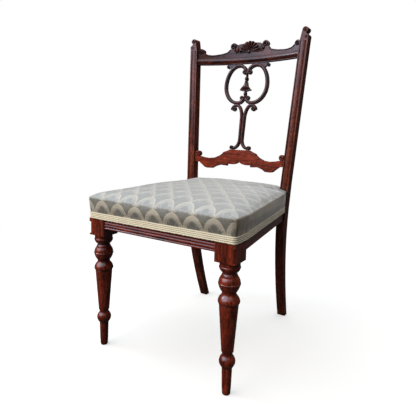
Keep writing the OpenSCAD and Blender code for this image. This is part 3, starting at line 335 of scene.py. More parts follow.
# A dark and a pale tone for each board. The legs and the lower rail are the reddest, and the back grows
# darker toward its top
LEG_TONES, POST_TONES, CREST_TONES = ("#430f07", "#a03c20"), ("#36100a", "#8a4029"), ("#260b07", "#682e20")
WARM_TONES = "#521808", "#a03a18"
mahogany_leg = french_polished_mahogany("leg", UPRIGHT, *LEG_TONES)
mahogany_post = french_polished_mahogany("post", UPRIGHT, *POST_TONES, polish=0.4)
mahogany_splat = french_polished_mahogany("splat", UPRIGHT, *CREST_TONES, polish=0.4)
mahogany_crest = french_polished_mahogany("crest", ACROSS, *CREST_TONES, polish=0.4)
mahogany_rail = french_polished_mahogany("rail", ACROSS, *LEG_TONES, polish=0.5)
mahogany_warm = french_polished_mahogany("warm_board", ACROSS, *WARM_TONES, polish=0.5)
mahogany_left = french_polished_mahogany("left_rail", ENDWISE, *LEG_TONES, turn=(0, 0, SIDE_ANGLE))
mahogany_right = french_polished_mahogany("right_rail", ENDWISE, *LEG_TONES, turn=(0, 0, -SIDE_ANGLE))
print("boards:", sum(1 for m in bpy.data.materials if "mahogany" in m.name), "side rails at",
      round(math.degrees(SIDE_ANGLE), 2), "degrees")

# %% [markdown]
# Beech, iron and blued steel
#
# What the seat hides is plain: beech dowels and corner blocks, planed and left bare, iron screws in the
# blocks and blued tacks in the webbing. Beech is a pale straight wood with short brown flecks. The metals
# need only their colour and a roughness that varies, one a turned screw and the other a stamped and blued
# tack.

# %% Beech and metals
bare_beech, tree, surface = new_material("planed_beech")
spot = add(tree, "TexCoord")
# Streaks 1.4 mm by 33 mm and flecks 0.6 mm by 2.5 mm, both along X
lines = add(tree, "VectorMath", {0: spot.outputs["Object"]}, {1: (30, 700, 700)}, operation="MULTIPLY")
streak = add(tree, "TexNoise", {"Vector": lines}, {"Scale": 1.0, "Detail": 3.0})
flecks = add(tree, "VectorMath", {0: spot.outputs["Object"]}, {1: (400, 1800, 1800)}, operation="MULTIPLY")
fleck = add(tree, "TexNoise", {"Vector": flecks}, {"Scale": 1.0, "Detail": 1.0})
body = add(tree, "Mix", {0: streak}, {6: linear("#a67c50"), 7: linear("#c9a277")}, data_type="RGBA")
mark = add(tree, "MapRange", {"Value": fleck},
           {"From Min": 0.6, "From Max": 0.72, "To Min": 1.0, "To Max": 0.6})
body = add(tree, "VectorMath", {0: body, 1: mark}, operation="MULTIPLY")
dent = add(tree, "Bump", {"Height": streak}, {"Strength": 0.2, "Distance": 0.0002})
shader = add(tree, "BsdfPrincipled", {"Base Color": body, "Normal": dent}, {"Roughness": 0.7, "IOR": 1.5})
tree.links.new(shader.outputs[0], surface)


def plain_metal(name, dull, bright, roughness):
    """A bare metal: two tones mixed by 3 mm clouds, and the same clouds in its roughness."""
    material, tree, surface = new_material(name)
    spot = add(tree, "TexCoord")
    cloud = add(tree, "TexNoise", {"Vector": spot.outputs["Object"]}, {"Scale": 330.0, "Detail": 3.0})
    tone = add(tree, "Mix", {0: cloud}, {6: linear(dull), 7: linear(bright)}, data_type="RGBA")
    rough = add(tree, "MapRange", {"Value": cloud},
                {"To Min": roughness - 0.08, "To Max": roughness + 0.12})
    shader = add(tree, "BsdfPrincipled", {"Base Color": tone, "Roughness": rough}, {"Metallic": 1.0})
    tree.links.new(shader.outputs[0], surface)
    return material


turned_iron = plain_metal("turned_iron_screws", "#6c675f", "#918b82", 0.42)
blued_steel = plain_metal("blued_steel_tacks", "#33363d", "#4d535e", 0.38)
print("materials so far:", len(bpy.data.materials))

# %% [markdown]
# Finish on the carried-over solids
#
# The CAD solids keep their shape. Their meshes are loose triangles, so a Weld modifier joins them and an
# Edge Split modifier keeps every edge over 30 degrees crisp, which lets the turned and bowed faces shade
# smooth. Each piece then gets the wood whose grain runs along it. The dowels and corner blocks are beech.

# %% Assign the finishes
WELD_WITHIN_M, CRISP_OVER = 0.00001, math.radians(30)
finish_of = {
    "front_leg_left": mahogany_leg, "front_leg_right": mahogany_leg,
    "rear_post_left": mahogany_post, "rear_post_right": mahogany_post,
    "back_splat": mahogany_splat, "front_seat_rail": mahogany_rail, "rear_seat_rail": mahogany_rail,
    "crest_rail": mahogany_crest, "lower_back_rail": mahogany_warm,
    "left_seat_rail": mahogany_left, "right_seat_rail": mahogany_right,
    "corner_block_screws": turned_iron, "webbing_tacks": blued_steel,
}
for node_name, node in nodes.items():
    hidden = "dowels" in node_name or "corner_block" in node_name
    finish = finish_of.get(node_name, bare_beech if hidden else None)
    if finish is None:
        continue
    node.data.materials.clear()
    node.data.materials.append(finish)
    node.data.polygons.foreach_set("use_smooth", [True] * len(node.data.polygons))
    weld = node.modifiers.new("weld", "WELD")
    weld.merge_threshold = WELD_WITHIN_M
    split = node.modifiers.new("crisp_edges", "EDGE_SPLIT")
    split.split_angle = CRISP_OVER
print("solids finished:", sum(1 for n in nodes.values() if n.modifiers))

# %% [markdown]
# From arrays to a mesh
#
# Every new piece is a surface worked out with numpy. A grid of points carries two parameters, such as a
# step along a path and an angle round it, so a whole piece is a few lines of array arithmetic. Three
# helpers turn such grids into a closed mesh: one numbers the faces of a grid, one makes a closed pad out of
# a front and a back grid, and one builds the Blender object, joins the doubled points at seams and poles,
# and turns all faces outwards.

# %% Mesh helpers
def grid_faces(rows, cols, wrap_rows=False, wrap_cols=False):
    """Quads of a grid numbered row by row: each joins (r, c), (r, c+1), (r+1, c+1) and (r+1, c)."""
    r, c = np.meshgrid(np.arange(rows - (not wrap_rows)), np.arange(cols - (not wrap_cols)), indexing="ij")
    r2, c2 = (r + 1) % rows, (c + 1) % cols
    return np.stack([r * cols + c, r * cols + c2, r2 * cols + c2, r2 * cols + c], axis=-1).reshape(-1, 4)


def closed_pad(front, back):
    """A closed shell from two grids of equal size: both faces, and a strip that joins their borders."""
    rows, cols = front.shape[:2]
    index = np.arange(rows * cols).reshape(rows, cols)
    border = np.concatenate([index[0, :-1], index[:-1, -1], index[-1, :0:-1], index[:0:-1, 0]])
    after, shift = np.roll(border, -1), rows * cols
    strip = np.stack([border, border + shift, after + shift, after], axis=-1)
    points = np.concatenate([front.reshape(-1, 3), back.reshape(-1, 3)])
    return points, np.concatenate([grid_faces(rows, cols), grid_faces(rows, cols)[:, ::-1] + shift, strip])


def joined(shells):
    """Several (points, faces) shells as one: each one's faces count on from the points before them."""
    starts = np.cumsum([0] + [len(points) for points, _ in shells[:-1]])
    return (np.concatenate([points for points, _ in shells]),
            np.concatenate([faces + start for start, (_, faces) in zip(starts, shells)]))


JOIN_WITHIN_MM = 0.001


def make_piece(name, shell, material, replaces=(), uv=None):
    """A mesh object at the origin from a shell in millimetres. uv holds two numbers for each face corner."""
    points, faces = shell
    mesh = bpy.data.meshes.new(name)
    mesh.from_pydata((points * MM).tolist(), [], faces.tolist())
    if uv is not None:
        layer = mesh.uv_layers.new(name="cloth")
        layer.data.foreach_set("uv", uv.astype(np.float32).ravel())
    work = bmesh.new()
    work.from_mesh(mesh)
    bmesh.ops.remove_doubles(work, verts=work.verts, dist=JOIN_WITHIN_MM * MM)
    bmesh.ops.recalc_face_normals(work, faces=work.faces)
    work.to_mesh(mesh)
    open_edges = sum(1 for e in work.edges if len(e.link_faces) != 2)
    work.free()
    mesh.polygons.foreach_set("use_smooth", [True] * len(mesh.polygons))
    mesh.materials.append(material)
    piece = bpy.data.objects.new(name, mesh)
    bpy.context.scene.collection.objects.link(piece)
    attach(piece, "root")
    if replaces:
        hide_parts(*replaces)
    print(f"{name}: {len(mesh.polygons)} faces, {open_edges} open edges")
    return piece


# %% [markdown]
# Where the carving sits
#
# The back leans 5.5 degrees from the seat up, and its two rails also bow backward between the posts, each
# on an arc. Carving is easiest to draw on a flat sheet, as a carver's pattern is: x across, z up the back,
# and the height of the relief. These functions bend such a flat drawing onto the face of the piece that
# carries it.

# %% Frames of the back
# The back's rake, the splat's further lean, and the knee where the rake begins, as (y, z)
RAKE, SPLAT_TILT, KNEE = math.radians(5.5), math.radians(2.93), (152.5, 375)
# Half length, bow, setback, top and height of the two rails, all in mm up the leaning back
CREST_HALF, CREST_BOW, CREST_SETBACK, CREST_TOP, CRESTING_H = 177.7, 25.5, 8.0, 481.96, 40.0
LOWER_HALF, LOWER_BOW, LOWER_SETBACK, LOWER_TOP, LOWER_H = 162.1, 15.0, 4.0, 165.0, 65.5
# The cresting's face lies this far in front of the crest's own arc, and the splat's face this far back
CRESTING_INSET, SPLAT_FACE = 4.0, 20.0
SPLAT_LEN, RING_W, BAND_W = 282.96, 158.0, 11.0


def leaning(x, depth, rise):
    """Back frame to world: turned back by the rake about the knee."""
    return np.stack([x, KNEE[0] + depth * math.cos(RAKE) + rise * math.sin(RAKE),
                     KNEE[1] - depth * math.sin(RAKE) + rise * math.cos(RAKE)], axis=-1)


def bowed(x, rise, relief, half, bow, setback, inset=0.0):
    """A face bowed on an arc through its middle: depth = centre + sqrt((radius + inset - relief)^2 - x^2)."""
    radius = (half ** 2 + bow ** 2) / 2 / bow
    centre = setback + bow - radius
    return leaning(x, centre + np.sqrt((radius + inset - relief) ** 2 - x ** 2), rise)


def on_cresting(x, rise, relief):
    """The front face of the crest rail's cresting."""
    return bowed(x, rise, relief, CREST_HALF, CREST_BOW, CREST_SETBACK, CRESTING_INSET)


def on_lower_rail(x, rise, relief):
    """The front face of the lower back rail."""
    return bowed(x, rise, relief, LOWER_HALF, LOWER_BOW, LOWER_SETBACK)


def on_splat(x, rise, relief):
    """The splat's own frame leans back a little more, from the lower rail's top to the crest."""
    depth = SPLAT_FACE - relief * math.cos(SPLAT_TILT) + rise * math.sin(SPLAT_TILT)
    return leaning(x, depth, LOWER_TOP + relief * math.sin(SPLAT_TILT) + rise * math.cos(SPLAT_TILT))


def on_post_end(x, z, relief):
    """The front face of a post's end, in world x and z: y = knee's y + (z - knee's z) tan(rake) - relief."""
    x, z, relief = np.broadcast_arrays(x, z, relief)
    return np.stack([x, KNEE[0] + (z - KNEE[1]) * math.tan(RAKE) - relief, z], axis=-1)


def both_sides(shell):
    """A shell and its mirror image across the chair's middle plane."""
    points, faces = shell
    return joined([shell, (points * np.array([-1.0, 1.0, 1.0]), faces[:, ::-1])])


print("crest's middle at", on_cresting(np.zeros(1), np.full(1, CREST_TOP), np.zeros(1)).round(1)[0], "mm")

# %% [markdown]
# Ridges and scrolls
#
# Nearly all of this chair's carving is one form: a rounded ridge that follows a line and tapers at its
# ends. A scroll is such a ridge on a spiral, with a small button as its eye. So one function sweeps a half-
# round section along any path, and the scrolls, stems, lobes and leaves are only different paths and
# widths.

# %% A ridge along a path
# How deep a ridge is sunk in the face that carries it, in mm, and the points of its section
SUNK, AROUND = 1.2, 14


def ridge(path, half_width, relief, place):
    """A closed rounded ridge along a flat path.

    Around the path runs an ellipse: across = half width * cos(a), height = relief * sin(a) above the face and
    SUNK * sin(a) below it. The path's own normal is (-dz, dx)."""
    step = np.gradient(path, axis=0)
    step /= np.maximum(np.linalg.norm(step, axis=1, keepdims=True), 1e-9)
    normal = np.stack([-step[:, 1], step[:, 0]], axis=1)
    a = np.linspace(0, 2 * np.pi, AROUND, endpoint=False)
    across = half_width[:, None] * np.cos(a)
    up = np.where(np.sin(a) > 0, relief[:, None], SUNK) * np.sin(a) * (half_width[:, None] > 0)
    x = path[:, :1] + normal[:, :1] * across
    z = path[:, 1:] + normal[:, 1:] * across
    points = place(x, z, up)
    points[0], points[-1] = points[0].mean(0), points[-1].mean(0)
    return points.reshape(-1, 3), grid_faces(len(path), AROUND, wrap_cols=True)


def taper(n, start, end):
    """Widths that rise from 0 to 1 and fall back to 0: a quarter circle over the first and last share."""
    s = np.linspace(0, 1, n)
    rise = np.sqrt(1 - (1 - np.clip(s / start, 0, 1)) ** 2)
    fall = np.sqrt(1 - (1 - np.clip((1 - s) / end, 0, 1)) ** 2)
    return rise * fall


def spiral(centre, outer, inner, start_deg, turns, n=64):
    """A path round a centre: angle = start + turns * 360 * s, radius = outer + (inner - outer) s^0.85."""
    s = np.linspace(0, 1, n)
    a = np.radians(start_deg) + 2 * np.pi * turns * s
    r = outer + (inner - outer) * s ** 0.85
    return np.stack([centre[0] + r * np.cos(a), centre[1] + r * np.sin(a)], axis=1)


def button(centre, radius, relief, place, rings=12, around=18):
    """A low dome: height = relief * cos(t) at a distance radius * sin(t) from its centre, sunk 1 mm below."""
    t = np.linspace(0, np.pi, rings)[:, None]
    a = np.linspace(0, 2 * np.pi, around, endpoint=False)
    x = centre[0] + radius * np.sin(t) * np.cos(a)
    z = centre[1] + radius * np.sin(t) * np.sin(a)
    up = np.where(t < np.pi / 2, relief, 1.0) * np.cos(t) * np.ones_like(a)
    points = place(x, z, up)
    points[0], points[-1] = points[0].mean(0), points[-1].mean(0)
    return points.reshape(-1, 3), grid_faces(rings, around, wrap_cols=True)


def scroll(centre, radius, start_deg, turns, band, relief, place, eye=0.24):
    """A spiral ridge inside a circle of this radius, with a button as its eye."""
    path = spiral(centre, radius - band / 2, radius * 0.36, start_deg, turns)
    n = len(path)
    width = band / 2 * np.linspace(1.0, 0.62, n) * taper(n, 0.08, 0.10)
    height = relief * np.linspace(0.8, 1.0, n) * taper(n, 0.1, 0.1)
    return joined([ridge(path, width, height, place), button(centre, radius * eye, relief * 1.05, place)])


def leaf(foot, tip, bend, width, relief, place, late, blunt, n):
    """A ridge on a parabola from foot to tip that stands off the straight line by bend.

    Its width and relief follow sin(pi s^late)^blunt, s from 0 at the foot to 1 at the tip."""
    s = np.linspace(0, 1, n)[:, None]
    foot, tip = np.array(foot, float), np.array(tip, float)
    side = np.array([-(tip - foot)[1], (tip - foot)[0]]) / np.linalg.norm(tip - foot)
    path = foot + (tip - foot) * s + side * 4 * bend * s * (1 - s)
    full = np.sin(np.pi * s[:, 0] ** late) ** blunt
    return ridge(path, width / 2 * full, relief * full, place)


# %% [markdown]
# The shell on the crest rail
#
# The middle of the crest is a scallop shell, cut as nine rounded lobes that fan out from a half-round
# button. On a polar grid the whole fan is one surface: the angle gives the lobes, as the arch of a sine,
# and the distance from the base gives their swell, low at the button, fullest near the rim and rounded off
# there.

# %% Shell
LOBES, SHELL_HALF, BASE_HALF = 9, 37.0, 36


def shell_fan():
    """Height over (angle, distance s): swell(s) * (0.06 + 0.94 * |sin(9 angle)|^0.9), with no lobes at s = 0.

    swell = 1.4 mm + 4.8 mm * (s / 0.75)^1.3 up to s = 0.75. A quarter circle rounds off the last fifth."""
    angle = np.linspace(0, np.pi, LOBES * 14 + 1)[:, None]
    s = np.linspace(0, 1, 26)[None, :]
    lobe = np.abs(np.sin(LOBES * angle))
    dent = 1 - 0.08 * (1 - lobe)
    tall, base = CRESTING_H * 0.88, CREST_TOP + CRESTING_H * 0.12
    x = SHELL_HALF * np.cos(angle) * dent * s
    z = base + tall * np.sin(angle) * dent * s
    swell = 1.4 + 4.8 * np.clip(s / 0.75, 0, 1) ** 1.3
    rim = np.sqrt(np.clip(1 - (np.clip((s - 0.80) / 0.20, 0, 1)) ** 2, 0, 1))
    lobes = 1 + (0.06 + 0.94 * lobe ** 0.9 - 1) * np.clip(s / 0.12, 0, 1)
    relief = swell * lobes * rim - 0.6 * (1 - rim)
    front = on_cresting(x, z, relief)
    back = on_cresting(x * 0.97, base + (z - base) * 0.97, np.full_like(x, -3.0))
    return closed_pad(front, back)


shell_button = button((0, CREST_TOP + 4.2), 6.2, 5.2, on_cresting)
base_line = np.stack([np.linspace(-BASE_HALF, BASE_HALF, 60),
                      CREST_TOP + 2.2 + 2.2 * np.cos(np.linspace(-1.5, 1.5, 60))], axis=1)
base_bead = ridge(base_line, 1.7 * taper(60, 0.08, 0.08), 3.4 * np.ones(60), on_cresting)
make_piece("carved_shell", joined([shell_fan(), shell_button, base_bead]), mahogany_crest)

# %% [markdown]
# Leaves, volutes and end scrolls
#
# Beside the shell a spray of three leaves leans outward, then a volute curls outward over a dark eye, and
# the top edge sweeps down in a fine bead to a last scroll against each post. Leaves are ridges on short
# bent paths, widest in the middle. They overlap at their feet, as carved leaves do.

# %% Leaves and scrolls of the cresting
def crest_leaf(foot, tip, bend, width, relief):
    """A leaf on the cresting's face, fullest at 57%, from foot to tip as (x, height over the rail)."""
    foot, tip = ((x, CREST_TOP + z) for x, z in (foot, tip))
    return leaf(foot, tip, bend, width, relief, on_cresting, late=1.25, blunt=0.8, n=28)


def cresting_point(x_share, z_share):
    """A place by its shares of the rail's half length and of the cresting's height."""
    return np.array([x_share * CREST_HALF, CREST_TOP + z_share * CRESTING_H])


leaves = [crest_leaf((36, 2), (39.5, 27), -2.2, 7.0, 3.6), crest_leaf((37, 1.5), (45, 19), -2.2, 7.0, 3.4),
          crest_leaf((40, 1.5), (51, 9), -1.5, 5.5, 2.8)]
volute_at, volute_r, volute_band = cresting_point(0.318, 0.62), 11.3, 5.2
volute = scroll(volute_at, volute_r, 215, -1.35, volute_band, 5.0, on_cresting)
# The volute's foot ends on the middle of its outer band, at 205 degrees
foot_end = spiral(volute_at, volute_r - volute_band / 2, 0, 205, 0)[0]
volute_foot = crest_leaf((47, 3.5), foot_end - (0, CREST_TOP), -3.5, 6.5, 4.4)

# The top edge's sweep down to the post: eleven places on the solid's edge, eased into one line
sweep_points = np.array([cresting_point(*share) for share in (
    (0.385, 0.36), (0.41, 0.22), (0.44, 0.12), (0.50, 0.035), (0.56, -0.005), (0.64, -0.05), (0.72, -0.085),
    (0.79, -0.05), (0.84, 0.0), (0.875, 0.09), (0.90, 0.2))])
steps = np.arange(len(sweep_points))
between = np.linspace(0, steps[-1], 90)
sweep_line = np.stack([np.interp(between, steps, column) for column in sweep_points.T], axis=1)
for _ in range(12):
    sweep_line[1:-1] = (sweep_line[:-2] + 2 * sweep_line[1:-1] + sweep_line[2:]) / 4
sweep_bead = ridge(sweep_line, 1.5 * taper(90, 0.06, 0.06), 2.6 * np.ones(90), on_cresting)
end_scroll = scroll(cresting_point(0.945, 0.27), 9.8, -60, 1.35, 4.4, 4.2, on_cresting)
spray = joined([*leaves, volute, volute_foot, sweep_bead, end_scroll])
make_piece("carved_leaves_and_volutes", both_sides(spray), mahogany_crest)

# %% [markdown]
# The splat's scrolls
#
# The splat is sawn from a thin board, a ring of two C-scrolls over a V of two stems, and then carved on its
# face so that each band is rounded and each end rolls up into a small scroll. The lines below are quarter
# ellipses, the same that the solid was sawn along, so the rounding runs down the middle of each band and
# leaves a narrow flat margin on both sides.

# %% Lines of the splat
def arc(centre, a, b, start, stop, n=24):
    """Points of an ellipse's arc: (cx + a cos t, cz + b sin t) with t from start to stop degrees."""
    t = np.radians(np.linspace(start, stop, n))
    return np.stack([centre[0] + a * np.cos(t), centre[1] + b * np.sin(t)], axis=1)


def one_line(*parts):
    """Arcs joined end to end, each without its first point, which the arc before it already has."""
    return np.concatenate([parts[0], *[p[1:] for p in parts[1:]]])


# Heights are shares of the splat's length and widths are shares of the ring's, as the solid has them
ring_top, ring_mid, ring_low = SPLAT_LEN - BAND_W / 2, 0.75 * SPLAT_LEN, 0.5445 * SPLAT_LEN
side_x, top_x, low_x, in_x = RING_W / 2 - BAND_W / 2, 0.2 * RING_W, 0.16 * RING_W, 0.032 * RING_W
hook, low_hook = 0.078 * SPLAT_LEN, 0.058 * SPLAT_LEN
ring_line = one_line(
    arc((top_x, ring_top - hook), top_x - in_x, hook, 180, 90),
    arc((top_x, ring_mid), side_x - top_x, ring_top - ring_mid, 90, 0),
    arc((low_x, ring_mid), side_x - low_x, ring_mid - ring_low, 0, -90),
    arc((low_x, ring_low + low_hook), low_x - in_x, low_hook, -90, -180))
head, stem, ankle = 0.499 * SPLAT_LEN + BAND_W / 2, 0.365 * SPLAT_LEN, 0.125 * SPLAT_LEN
foot_x, head_hook = 0.165 * RING_W, 0.055 * SPLAT_LEN
stem_line = one_line(
    arc((foot_x, head - head_hook), 0.1 * RING_W, head_hook, 0, 90, 12),
    arc((foot_x, stem), foot_x - in_x, head - stem, 90, 180),
    arc((foot_x, ankle), foot_x - in_x * 0.82, ankle - BAND_W / 2, 180, 270))


def carved_band(line, half_width, relief):
    """The rounding of a band, full along its length and drawn in over its first and last 4%."""
    ends = taper(len(line), 0.04, 0.04)
    return ridge(line, half_width * ends, relief * ends, on_splat)


def splat_scroll(x_share, z, r_share, start_deg, turns):
    """A scroll on the splat's face, with its place across and its radius as shares of the ring's width."""
    radius = r_share * RING_W
    return scroll((x_share * RING_W, z), radius, start_deg, turns, radius * 0.58, 3.3, on_splat, eye=0.30)


half_splat = joined([
    carved_band(ring_line, 4.5, 2.9), carved_band(stem_line, 3.7, 2.7),
    splat_scroll(0.056, ring_top - hook, 0.05, 180, 1.15),
    splat_scroll(0.068, ring_low + low_hook, 0.043, 180, -1.15),
    splat_scroll(0.218, (0.499 - 0.022) * SPLAT_LEN, 0.05, 0, -1.15),
    splat_scroll(0.195, 0.026 * SPLAT_LEN, 0.041, -90, 1.15),
    splat_scroll(0.45, (1 - 0.026) * SPLAT_LEN, 0.036, 90, -1.15),
])
make_piece("carved_splat_scrolls", both_sides(half_splat), mahogany_splat)

# %% [markdown]
# The hanging bellflower
#
# A drop of husk flowers hangs in the ring: two beads on a stalk, a bell of five petals whose outer tips
# turn up, and two more beads. Each petal is a leaf again, but on the splat's face, fullest a little below
# its middle.

# %% Bellflower
def at_height(share, x=0.0):
    """A place on the splat, by the share of its length."""
    return x, share * SPLAT_LEN


def petal(foot, tip, bend, width, relief):
    """A leaf on the splat's face, fullest at 60% of its length."""
    return leaf(foot, tip, bend, width, relief, on_splat, late=1.35, blunt=0.7, n=26)


stalk = np.linspace(at_height(0.905), at_height(0.585), 40)
bellflower = [ridge(stalk, 2.2 * np.ones(40), 1.8 * np.ones(40), on_splat),
              petal(at_height(0.795), at_height(0.682), 0.0, 11.5, 5.8)]
for share, radius, relief in ((0.823, 5.2, 4.4), (0.790, 3.9, 4.4), (0.647, 4.7, 4.0), (0.612, 3.3, 3.0)):
    bellflower.append(button(at_height(share), radius, relief, on_splat))
for side in (-1, 1):
    bellflower += [
        petal(at_height(0.788, side * 1.2), at_height(0.688, side * 10.0), -side * 1.2, 8.5, 4.6),
        petal(at_height(0.778, side * 2.2), at_height(0.697, side * 19.2), -side * 3.4, 7.0, 3.6)]
make_piece("carved_bellflower", joined(bellflower), mahogany_splat)

# %% [markdown]
# Scrolls on the lower rail and the posts
#
# The lower rail swells into a scroll against each post, and each post ends in a rolled scroll that opens
# outward, with a smaller roll as its shoulder. Cut through a post, such a roll shows as a spiral on its
# face.

# %% Lower rail and post scrolls
lower_eye = 0.93 * LOWER_HALF, LOWER_TOP - 0.28 * LOWER_H
lower_scroll = scroll(lower_eye, 9.0, 250, 1.25, 4.2, 3.0, on_lower_rail)
make_piece("carved_lower_rail_scrolls", both_sides(lower_scroll), mahogany_warm)

post_roll = scroll((195.0, 898.5), 8.3, 205, -1.25, 3.9, 2.6, on_post_end, eye=0.26)
shoulder_roll = scroll((198.9, 878.2), 7.2, 60, -1.1, 3.4, 1.8, on_post_end, eye=0.28)
make_piece("carved_post_scrolls", both_sides(joined([post_roll, shoulder_roll])), mahogany_post)

# %% [markdown]
# The seat's outline
#
# A stuffed-over seat is built in layers on its rails: webbing, hessian, hair, wadding, and a cover that is
# drawn down over all of them and tacked to the rails' faces, where braid hides the tacks. All layers share
# one outline in plan. Each row of it has a place on the frame, the direction in which the cover grows out
# of it, and its share of the cover's bulge and of the rise toward the back. Next to a back post the outline
# follows the post, which leans, so a row also says how far it does so.

# %% Outline of the seat
# Heights in mm: the cover's lowest edge, the same where a post notches it, the braid's top, the soft edge,
# the crown's top, and how much higher the edge lies at the back
LOW, NOTCH_LOW, BRAID_TOP, EDGE, CROWN_TOP, REAR_RISE = 359.85, 391.3, 377.0, 416.0, 449.0, 13.0
# The cover's distance from the outline at the rails and where it is fullest
AT_RAILS, BULGE = 0.85, 6.0
FRONT_Y, REAR_Y, HALF_W, CORNER_R, BEND_Y, NOTCH_Y = -246.0, 181.0, 220.0, 9.0, -194.0, 151.3
SIDE_NORMAL = (math.cos(SIDE_ANGLE), math.sin(SIDE_ANGLE))
# Gaps between the outline and a post's inner face and front face
GAP_BESIDE, GAP_BEFORE = 0.3, 1.2
# A row's columns: its place, the direction in which the cover grows out of it, its share of the bulge, how
# far it follows the post's lean in x and in y, its share of the rise, and whether it lies in a notch
AT_X, AT_Y, OUT_X, OUT_Y, FULL, LEANS_X, LEANS_Y, RISES, NOTCHED = range(9)


def post_in_x(z):
    """Inner face of a back post: its outer face runs from 162.5 by 178 to 207.5 mm, and it is 25 mm wide."""
    return np.interp(z, [0, KNEE[1], 907], [162.5, 178, 207.5]) - 25


def post_front_y(z):
    """Front face of a back post, which leans back by the rake from the knee up."""
    return KNEE[0] + (z - KNEE[1]) * math.tan(RAKE)


def side_x(y):
    """Half the seat's width: whole up to the bend, then narrowing by the side rails' angle."""
    return HALF_W - max(y - BEND_Y, 0) * math.tan(SIDE_ANGLE)


def outline_rows(step=5.5):
    """The whole outline in rows of nine columns, no further apart than the step: one half and its mirror."""
    corner = [(HALF_W - CORNER_R + CORNER_R * math.cos(t), FRONT_Y + CORNER_R + CORNER_R * math.sin(t),
               math.cos(t), math.sin(t), 1, 0, 0, 0, 0) for t in np.radians(np.linspace(-90, 0, 17))]
    inside = post_in_x(KNEE[1]) - GAP_BESIDE
    ends = [(side_x(NOTCH_Y - CORNER_R * s), NOTCH_Y - CORNER_R * s, *SIDE_NORMAL, bulge, 0, s == 0, rise, 0)
            for s, bulge, rise in [(1, 1, 0.15), (0.4, 0.8, 0.3), (0, 0.4, 0.4)]]
    cut = side_x(NOTCH_Y) - 0.1 * SIDE_NORMAL[0]
    notch = [(cut, NOTCH_Y, *SIDE_NORMAL, 0, 0, 1, 0.5, 1),
             ((cut + inside) / 2, NOTCH_Y, 0, 0, 0, 0, 1, 0.75, 1),
             (inside, NOTCH_Y, 0, 0, 0, 1, 1, 1, 1), (inside, (NOTCH_Y + REAR_Y) / 2, 0, 0, 0, 1, 0, 1, 1),
             (inside, REAR_Y - 0.1, 0, 1, 0, 1, 0, 1, 1)]
    back = [(inside * s, REAR_Y, 0, 1, 0.6, s == 1, 0, rise, 0)
            for s, rise in [(1, 1), (0.75, 1.25), (0.4, 1.5), (0, 1.6)]]
    rows = np.array([(0, FRONT_Y, 0, -1, 1, 0, 0, 0, 0), *corner, (HALF_W, BEND_Y, 1, 0, 1, 0, 0, 0, 0),
                     *ends, *notch, *back], float)
    fine = [rows[:1]]
    for a, b in zip(rows[:-1], rows[1:]):
        n = max(1, math.ceil(math.dist(a[:2], b[:2]) / step))
        fine.append(a + (b - a) * (np.arange(1, n + 1) / n)[:, None])
    half = np.concatenate(fine)
    mirror = np.ones(9)
    mirror[[AT_X, OUT_X]] = -1
    return np.concatenate([half, half[-2:0:-1] * mirror])


def plan(rows, z, out, inset=0.0):
    """Plan place: x and y of place + direction * out, moved to the post's faces at height z as a row says."""
    x, y = rows[:, AT_X] + rows[:, OUT_X] * out, rows[:, AT_Y] + rows[:, OUT_Y] * out
    x = x + rows[:, LEANS_X] * (np.sign(rows[:, AT_X]) * (post_in_x(z) - GAP_BESIDE - inset) - x)
    y = y + rows[:, LEANS_Y] * (post_front_y(z) - GAP_BEFORE - inset - y)
    return np.stack([x, y], axis=-1)


def along_rows(places):
    """Distance of each place from the first, measured along the line through them."""
    return np.concatenate([[0], np.cumsum(np.linalg.norm(np.diff(places, axis=0), axis=1))])


outline = outline_rows()
print("outline:", len(outline), "rows,", round(along_rows(outline[:, :2])[-1]), "mm round")

# %% [markdown]
# The form of the cover
#
# Over that outline runs one profile. From the top of the braid the cover leans out to 6 mm, is fullest just
# below its edge, and there turns over softly into the crown. Two short tables give the profile, and a cubic
# through their points makes it smooth. Toward the middle the rings turn from the seat's outline into an
# oval.
#
# On top of the form come the marks of the work: the hair is never quite even, the tacks under the braid
# draw the cloth into shallow puckers, and at each front corner the spare cloth is folded into one pleat.

# %% Cover form
def eased(at, xs, ys):
    """A cubic through the table's points, with the slopes of the table at them."""
    xs, ys = np.array(xs, float), np.array(ys, float)
    slope = np.gradient(ys, xs)
    i = np.clip(np.searchsorted(xs, at, side="right") - 1, 0, len(xs) - 2)
    h = xs[i + 1] - xs[i]
    s = (at - xs[i]) / h
    return (ys[i] * (1 + 2 * s) * (1 - s) ** 2 + slope[i] * h * s * (1 - s) ** 2
            + ys[i + 1] * s ** 2 * (3 - 2 * s) - slope[i + 1] * h * s ** 2 * (1 - s))


# Rings of the wall and of the crown, the wall's share behind the braid, and the pleats' place round a corner
WALL_ROWS, CROWN_ROWS, BRAIDED_SHARE, PLEAT_DEG = 21, 38, 0.3073, 34
CROWN_CENTRE, OVAL, OVAL_POWER = np.array([0.0, -42.5]), np.array([172.48, 209.2]), 1.5
wall_share = np.linspace(0, 1, WALL_ROWS)
wall_bulge = eased(wall_share, [0, BRAIDED_SHARE, 0.55, 0.8, 0.93, 1], [0, 0, 0.5, 0.88, 1, 0.95])
wall_bulge = np.maximum(wall_bulge, 0)
wall_bulge[wall_share < BRAIDED_SHARE] = 0
crown_in = np.linspace(0, 1, CROWN_ROWS + 1)[1:] ** 1.25
crown_rise = eased(crown_in, [0, 0.045, 0.1, 0.2, 0.36, 0.56, 0.78, 1],
                   [0, 0.25, 0.4, 0.57, 0.76, 0.9, 0.98, 1])


